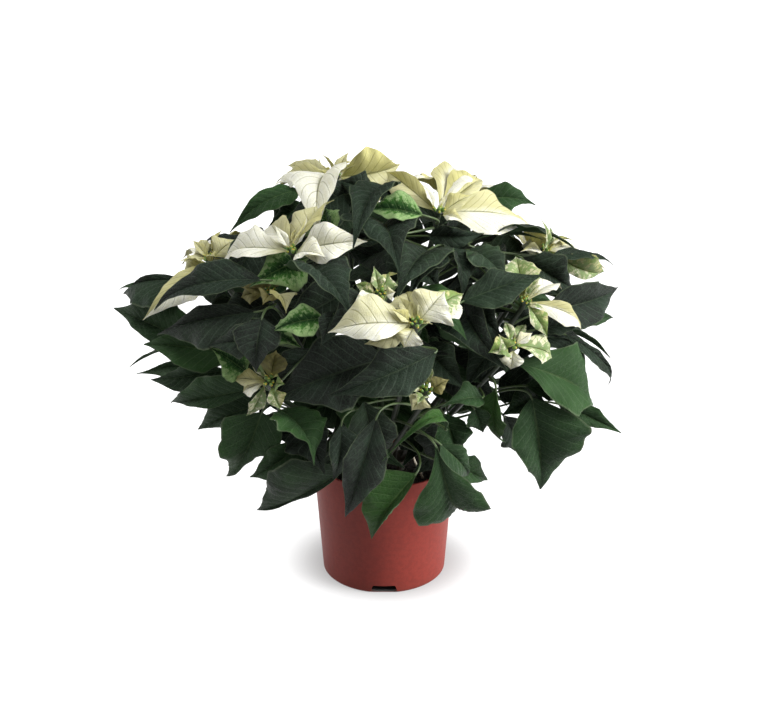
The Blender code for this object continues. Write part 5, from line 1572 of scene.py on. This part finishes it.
def makeFoliage(tubes):
    planned, shoots, bracts, placed = layOut()
    print("laid out:", len(placed), "leaves and", sum(map(len, bracts)), "bracts")
    draw = random.Random(fine["seed"])
    relief, buds = bladeTree(), budTree()
    leafMaterial, bractMaterial, stemMaterial, budMaterial = leafSkin(), bractSkin(), stemSkin(), budSkin()
    for stem in range(len(stems["directions"])):
        own = [leaf for leaf in placed if leaf.stem == stem]
        blades = [leaf.blade for leaf in own]
        node = f"leafy_stem_{stem + 1}"
        sheets = sheetsObject(blades, "sheets", fine["leafOutline"], fine["tooth"], draw)
        values = {**leafRelief, "Material": leafMaterial}
        placePiece(grown(sheets, relief, values, f"leaves_{stem + 1}"), "leaf", node)
        values = {"Sides": shootSides, "Material": stemMaterial}
        paths = pathsObject(stemPaths(stem, shoots, own), "paths")
        placePiece(grown(paths, tubes, values, f"shoots_{stem + 1}", sharp=80), "leaf", node)
    print("leafy stems made")

    pattern = budObject()
    draw = random.Random(cluster["seed"])
    for k, (blades, bloom) in enumerate(zip(bracts, planned), 1):
        sheets = sheetsObject(blades, "sheets", fine["bractOutline"], fine["tooth"] / 2, draw)
        values = {**bractRelief, "Material": bractMaterial}
        placePiece(grown(sheets, relief, values, f"bracts_{k:02d}"), "bract", f"bloom_{k:02d}")
        points = budPointsObject(bloom[1], bloom[2], draw, "budPoints")
        values = {"Bud": pattern, "Seed": k, "Material": budMaterial}
        placePiece(grown(points, buds, values, f"budCluster_{k:02d}", sharp=70), "bud", f"buds_{k:02d}")
    bpy.data.objects.remove(pattern)
    print("blooms made")


# Pot: turned, with drain slots at its foot
pot = {
    "height": 115, "topRadius": 67, "footRadius": 58.5, "wall": 1.6, "floor": 2, "corner": 3, "footRound": 3,
    "rim": 2.4, "rimDepth": 6, "rimRound": 0.8, "turns": 128, "steps": 24,
}
slots = {
    "count": 3, "front": -90, "topWidth": 21, "footWidth": 27, "height": 8.4, "reach": 4, "inward": 3.4,
    "round": 1.4,
}


def potWall(height):
    return pot["footRadius"] + (pot["topRadius"] - pot["footRadius"]) * height / pot["height"]


def arc(middle, radius, start, end, steps=5):
    # Points of a rounded edge, from one angle to another
    turns = [math.radians(start + (end - start) * k / steps) for k in range(steps + 1)]
    return [(middle[0] + radius * math.cos(turn), middle[1] + radius * math.sin(turn)) for turn in turns]


def makePot():
    inside = potWall(pot["floor"] + pot["corner"]) - pot["wall"] - pot["corner"]
    top, rimRound, footRound = pot["height"], pot["rimRound"], pot["footRound"]
    band = top - pot["rimDepth"]
    profile = [(0, pot["floor"])]
    profile += arc((inside, pot["floor"] + pot["corner"]), pot["corner"], -90, 0)
    profile += [(potWall(h) - pot["wall"], h) for h in (30, 60, 90, band - 1)]
    profile += [(potWall(band) - pot["rim"], band)]
    profile += arc((potWall(top) - pot["rim"] + rimRound, top - rimRound), rimRound, 180, 90)
    profile += arc((potWall(top) - rimRound, top - rimRound), rimRound, 90, 0)
    profile += [(potWall(h), h) for h in (90, 60, 30, 10)]
    profile += arc((potWall(footRound) - footRound, footRound), footRound, 0, -90)
    profile += [(0, 0)]
    body = objectOf(turnedShape(profile, pot["turns"]), "potBody")
    turns = [slots["front"] + 360 * k / slots["count"] for k in range(slots["count"])]
    cutters = [slotCutter(math.radians(turn)) for turn in turns]
    for cutter in cutters:
        difference = body.modifiers.new(cutter.name, "BOOLEAN")
        difference.operation, difference.object, difference.solver = "DIFFERENCE", cutter, "EXACT"
    piece = settled(body, "potShell", sharp=40)
    for cutter in cutters:
        bpy.data.objects.remove(cutter)
    piece.data.materials.clear()
    piece.data.materials.append(potPlastic())
    placePiece(piece, "pot", "pot")


def slotCutter(angle):
    shape = bmesh.new()
    bmesh.ops.create_cube(shape, size=1)
    for vertex in shape.verts:
        low = vertex.co.z < 0
        vertex.co.x = (pot["footRadius"] + (slots["reach"] if vertex.co.x > 0 else -slots["inward"])) * mm
        vertex.co.y *= (slots["footWidth"] if low else slots["topWidth"]) * mm
        vertex.co.z = (-1 if low else slots["height"]) * mm
    upper = []
    for edge in shape.edges:
        first, second = (vertex.co for vertex in edge.verts)
        if first.z > 0 and second.z > 0 and abs(first.y - second.y) < 1e-6:
            upper.append(edge)
    bmesh.ops.bevel(shape, geom=upper, offset=slots["round"] * mm, segments=4, affect="EDGES", profile=0.5)
    shape.transform(Matrix.Rotation(angle, 4, "Z"))
    return objectOf(shape, "slotCutter")


def potPlastic():
    # Matte red-brown plastic with a fine moulded grain, faint turning lines, pale scuffs and soil dust, and
    # with painted shade on the faces inside the drain slots
    material, tree, shader = newMaterial("potPlastic", specular=0.15)
    height, grain, cloud = heightIn(tree), spot(tree, 1400.0, 2.0), spot(tree, 22.0)
    lines = spot(tree, 260.0, 2.0, 0.5, {"Scale": (0.15, 0.15, 3)})
    scuffs = spot(tree, 240.0, 3.0, 0.6, {"Rotation": (0.5, 0.3, 0), "Scale": (1, 1, 0.12)})
    dust = tree.smooth(height + cloud * 0.02, 0.026, 0.0) * tree.smooth(grain, 0.35, 0.65) * 0.45
    # Painted shade: the faces inside the drain slots are dark grey
    level = tree.out("ShaderNodeVectorMath", {0: ownSpace(tree), 1: (1, 1, 0)}, {"operation": "MULTIPLY"})
    outward = tree.number("ShaderNodeVectorMath", {0: level}, {"operation": "LENGTH"}, 1)
    paintedSlotShade = tree.smooth(outward, (pot["footRadius"] - 1.2) * mm, (pot["footRadius"] - 3) * mm)
    paintedSlotShade = paintedSlotShade * tree.smooth(height, 0.012, 0.009) * tree.smooth(height, 0.0002, 0.0008)
    colour = tree.layered(
        tree.mix(cloud, (0.235, 0.031, 0.022), (0.290, 0.044, 0.032)),
        (tree.smooth(spot(tree, 240.0, 3.0, 0.6), 0.40, 0.62) * 0.35, (0.170, 0.028, 0.022)),
        (tree.smooth(scuffs, 0.68, 0.80) * 0.3, (0.42, 0.13, 0.10)),
        (tree.smooth(grain, 0.52, 0.75) * 0.18, (0.40, 0.10, 0.075)),
        (dust, (0.10, 0.055, 0.035)),
        (paintedSlotShade, (0.085, 0.082, 0.080)),
    )
    dress(tree, shader, colour, cloud * 0.15 + scuffs * 0.12 + 0.36, (grain + lines * 0.4, 0.25, 0.0003))
    return material


# Soil: a lumpy mound with crumbs and some perlite lying on it
soil = {
    "top": 98, "heap": 7, "brim": 0.8, "belly": 60, "slack": 0.3, "corner": 8, "turns": 72, "rings": 20,
    "lump": 1.3, "lumpScale": 0.11,
}
crumbs = {"Density": 90000.0, "Least Size": 0.0006, "Most Size": 0.0021, "Perlite Share": 0.05, "Seed": 4}


def makeSoil():
    floor, clear = pot["floor"] + gap, pot["wall"] + gap
    edge = potWall(soil["top"]) - clear - soil["slack"]
    shares = [k / soil["rings"] for k in range(soil["rings"])]
    profile = [(edge * share, soil["top"] + soil["heap"] * (1 - share**2)) for share in shares]
    profile += [
        (edge, soil["top"] - soil["brim"]),
        (potWall(soil["belly"]) - clear - soil["slack"], soil["belly"]),
        (potWall(floor + soil["corner"]) - clear, floor + soil["corner"]),
        (potWall(floor) - clear - soil["corner"], floor),
        (0, floor),
    ]
    body = objectOf(turnedShape(profile, soil["turns"], lumpy), "soilBody")
    values = {**crumbs, "Material": pottingSoil()}
    placePiece(grown(body, crumbTree(), values, "soilMound", sharp=60), "soil", "soil")


def lumpy(point):
    if point.z < soil["top"]:
        return point
    return point + up * (noise.fractal(point * soil["lumpScale"], 0.8, 2.0, 3) * soil["lump"])


def crumbTree():
    kinds = {"Seed": "NodeSocketInt"}
    inputs = [(name, kinds.get(name, "NodeSocketFloat"), value) for name, value in crumbs.items()]
    tree, given = newGeometryTree("soilCrumbs", inputs + [materialInput])
    height = tree.number("ShaderNodeSeparateXYZ", {0: tree.out("GeometryNodeInputPosition")}, None, 2)
    top = height.math("GREATER_THAN", (soil["top"] - 2) * mm)
    values = {"Mesh": given["Geometry"], "Selection": top, "Density": given["Density"], "Seed": given["Seed"]}
    points = tree.out("GeometryNodeDistributePointsOnFaces", values)
    ball = tree.out("GeometryNodeMeshIcoSphere", {"Radius": 1.0, "Subdivisions": 1})
    span = {"Min": given["Least Size"], "Max": given["Most Size"], "Seed": given["Seed"]}
    size = tree.number("FunctionNodeRandomValue", span, {"data_type": "FLOAT"}, 1)
    scale = scaled(tree, randomVector(tree, (0.6, 0.5, 0.4), (1.3, 1.1, 0.9), 2), size)
    turn = randomVector(tree, (0, 0, 0), (6.3, 6.3, 6.3), 3)
    values = {"Points": points, "Instance": ball, "Rotation": turn, "Scale": scale}
    lying = tree.out("GeometryNodeInstanceOnPoints", values)
    chance = {"Probability": given["Perlite Share"], "Seed": 6}
    pale = tree.out("FunctionNodeRandomValue", chance, {"data_type": "BOOLEAN"}, 3)
    lying = marked(tree, lying, "perlite", pale, "INSTANCE")
    return closeTree(tree, joinedBranches(tree, given["Geometry"], lying), given["Material"])


def pottingSoil():
    # Dark peat with lighter fibres, and off-white perlite
    material, tree, shader = newMaterial("pottingSoil", 0.95)
    grit = spot(tree, 800.0, 4.0, 0.7)
    colour = tree.layered(
        tree.mix(spot(tree, 90.0), (0.008, 0.006, 0.005), (0.020, 0.014, 0.010)),
        (tree.smooth(grit, 0.5, 0.7), (0.050, 0.034, 0.022)),
        (attr(tree, "perlite") * 0.95, (0.34, 0.32, 0.28)),
    )
    dress(tree, shader, colour, None, (grit, 0.9, 0.0008))
    return material


# Bare stalk: an old dry shoot, slightly crooked, with swollen scars
bareStalk = {
    "foot": (35, -20, 104), "top": (23.5, -30, 138), "radius": 1.3, "buried": 14, "steps": 26, "sides": 14,
    "crook": 0.5, "taper": 0.15, "swell": 0.10, "every": 9,
}


def makeBareStalk(tubes):
    foot, top = Vector(bareStalk["foot"]), Vector(bareStalk["top"])
    start = foot - (top - foot).normalized() * bareStalk["buried"]
    line, widths = [], []
    for k in range(bareStalk["steps"] + 1):
        share = k / bareStalk["steps"]
        crook = Vector((math.sin(share * 7), math.cos(share * 5), 0)) * bareStalk["crook"]
        line.append(start.lerp(top, share) + crook * math.sin(math.pi * share))
        swell = math.cos(2 * math.pi * share * (top - start).length / bareStalk["every"])
        scar = bareStalk["swell"] * max(0, swell) ** 3
        widths.append(bareStalk["radius"] * (1 - bareStalk["taper"] * share + scar))
    values = {"Sides": bareStalk["sides"], "Material": dryBark()}
    piece = grown(pathsObject([(line, widths, 0.5)], "stalk"), tubes, values, "bareStalk", sharp=80)
    placePiece(piece, "bare_stalk", "bare_stalk")


def dryBark():
    # Pale dry bark with long darker fibres
    material, tree, shader = newMaterial("dryBark", 0.75)
    fibres = spot(tree, 1600.0, 3.0, 0.6, {"Scale": (1, 1, 0.12)})
    colour = tree.mix(tree.smooth(fibres, 0.35, 0.65), (0.50, 0.42, 0.30), (0.88, 0.82, 0.68))
    colour = tree.mix(tree.smooth(spot(tree, 260.0), 0.58, 0.7) * 0.4, colour, (0.30, 0.22, 0.13))
    dress(tree, shader, colour, None, (fibres, 0.6, 0.0003))
    return material


makeStudio()
tubeNodes = tubeTree()
makeFoliage(tubeNodes)
makePot()
makeSoil()
makeBareStalk(tubeNodes)
print("pot, soil and bare stalk made")
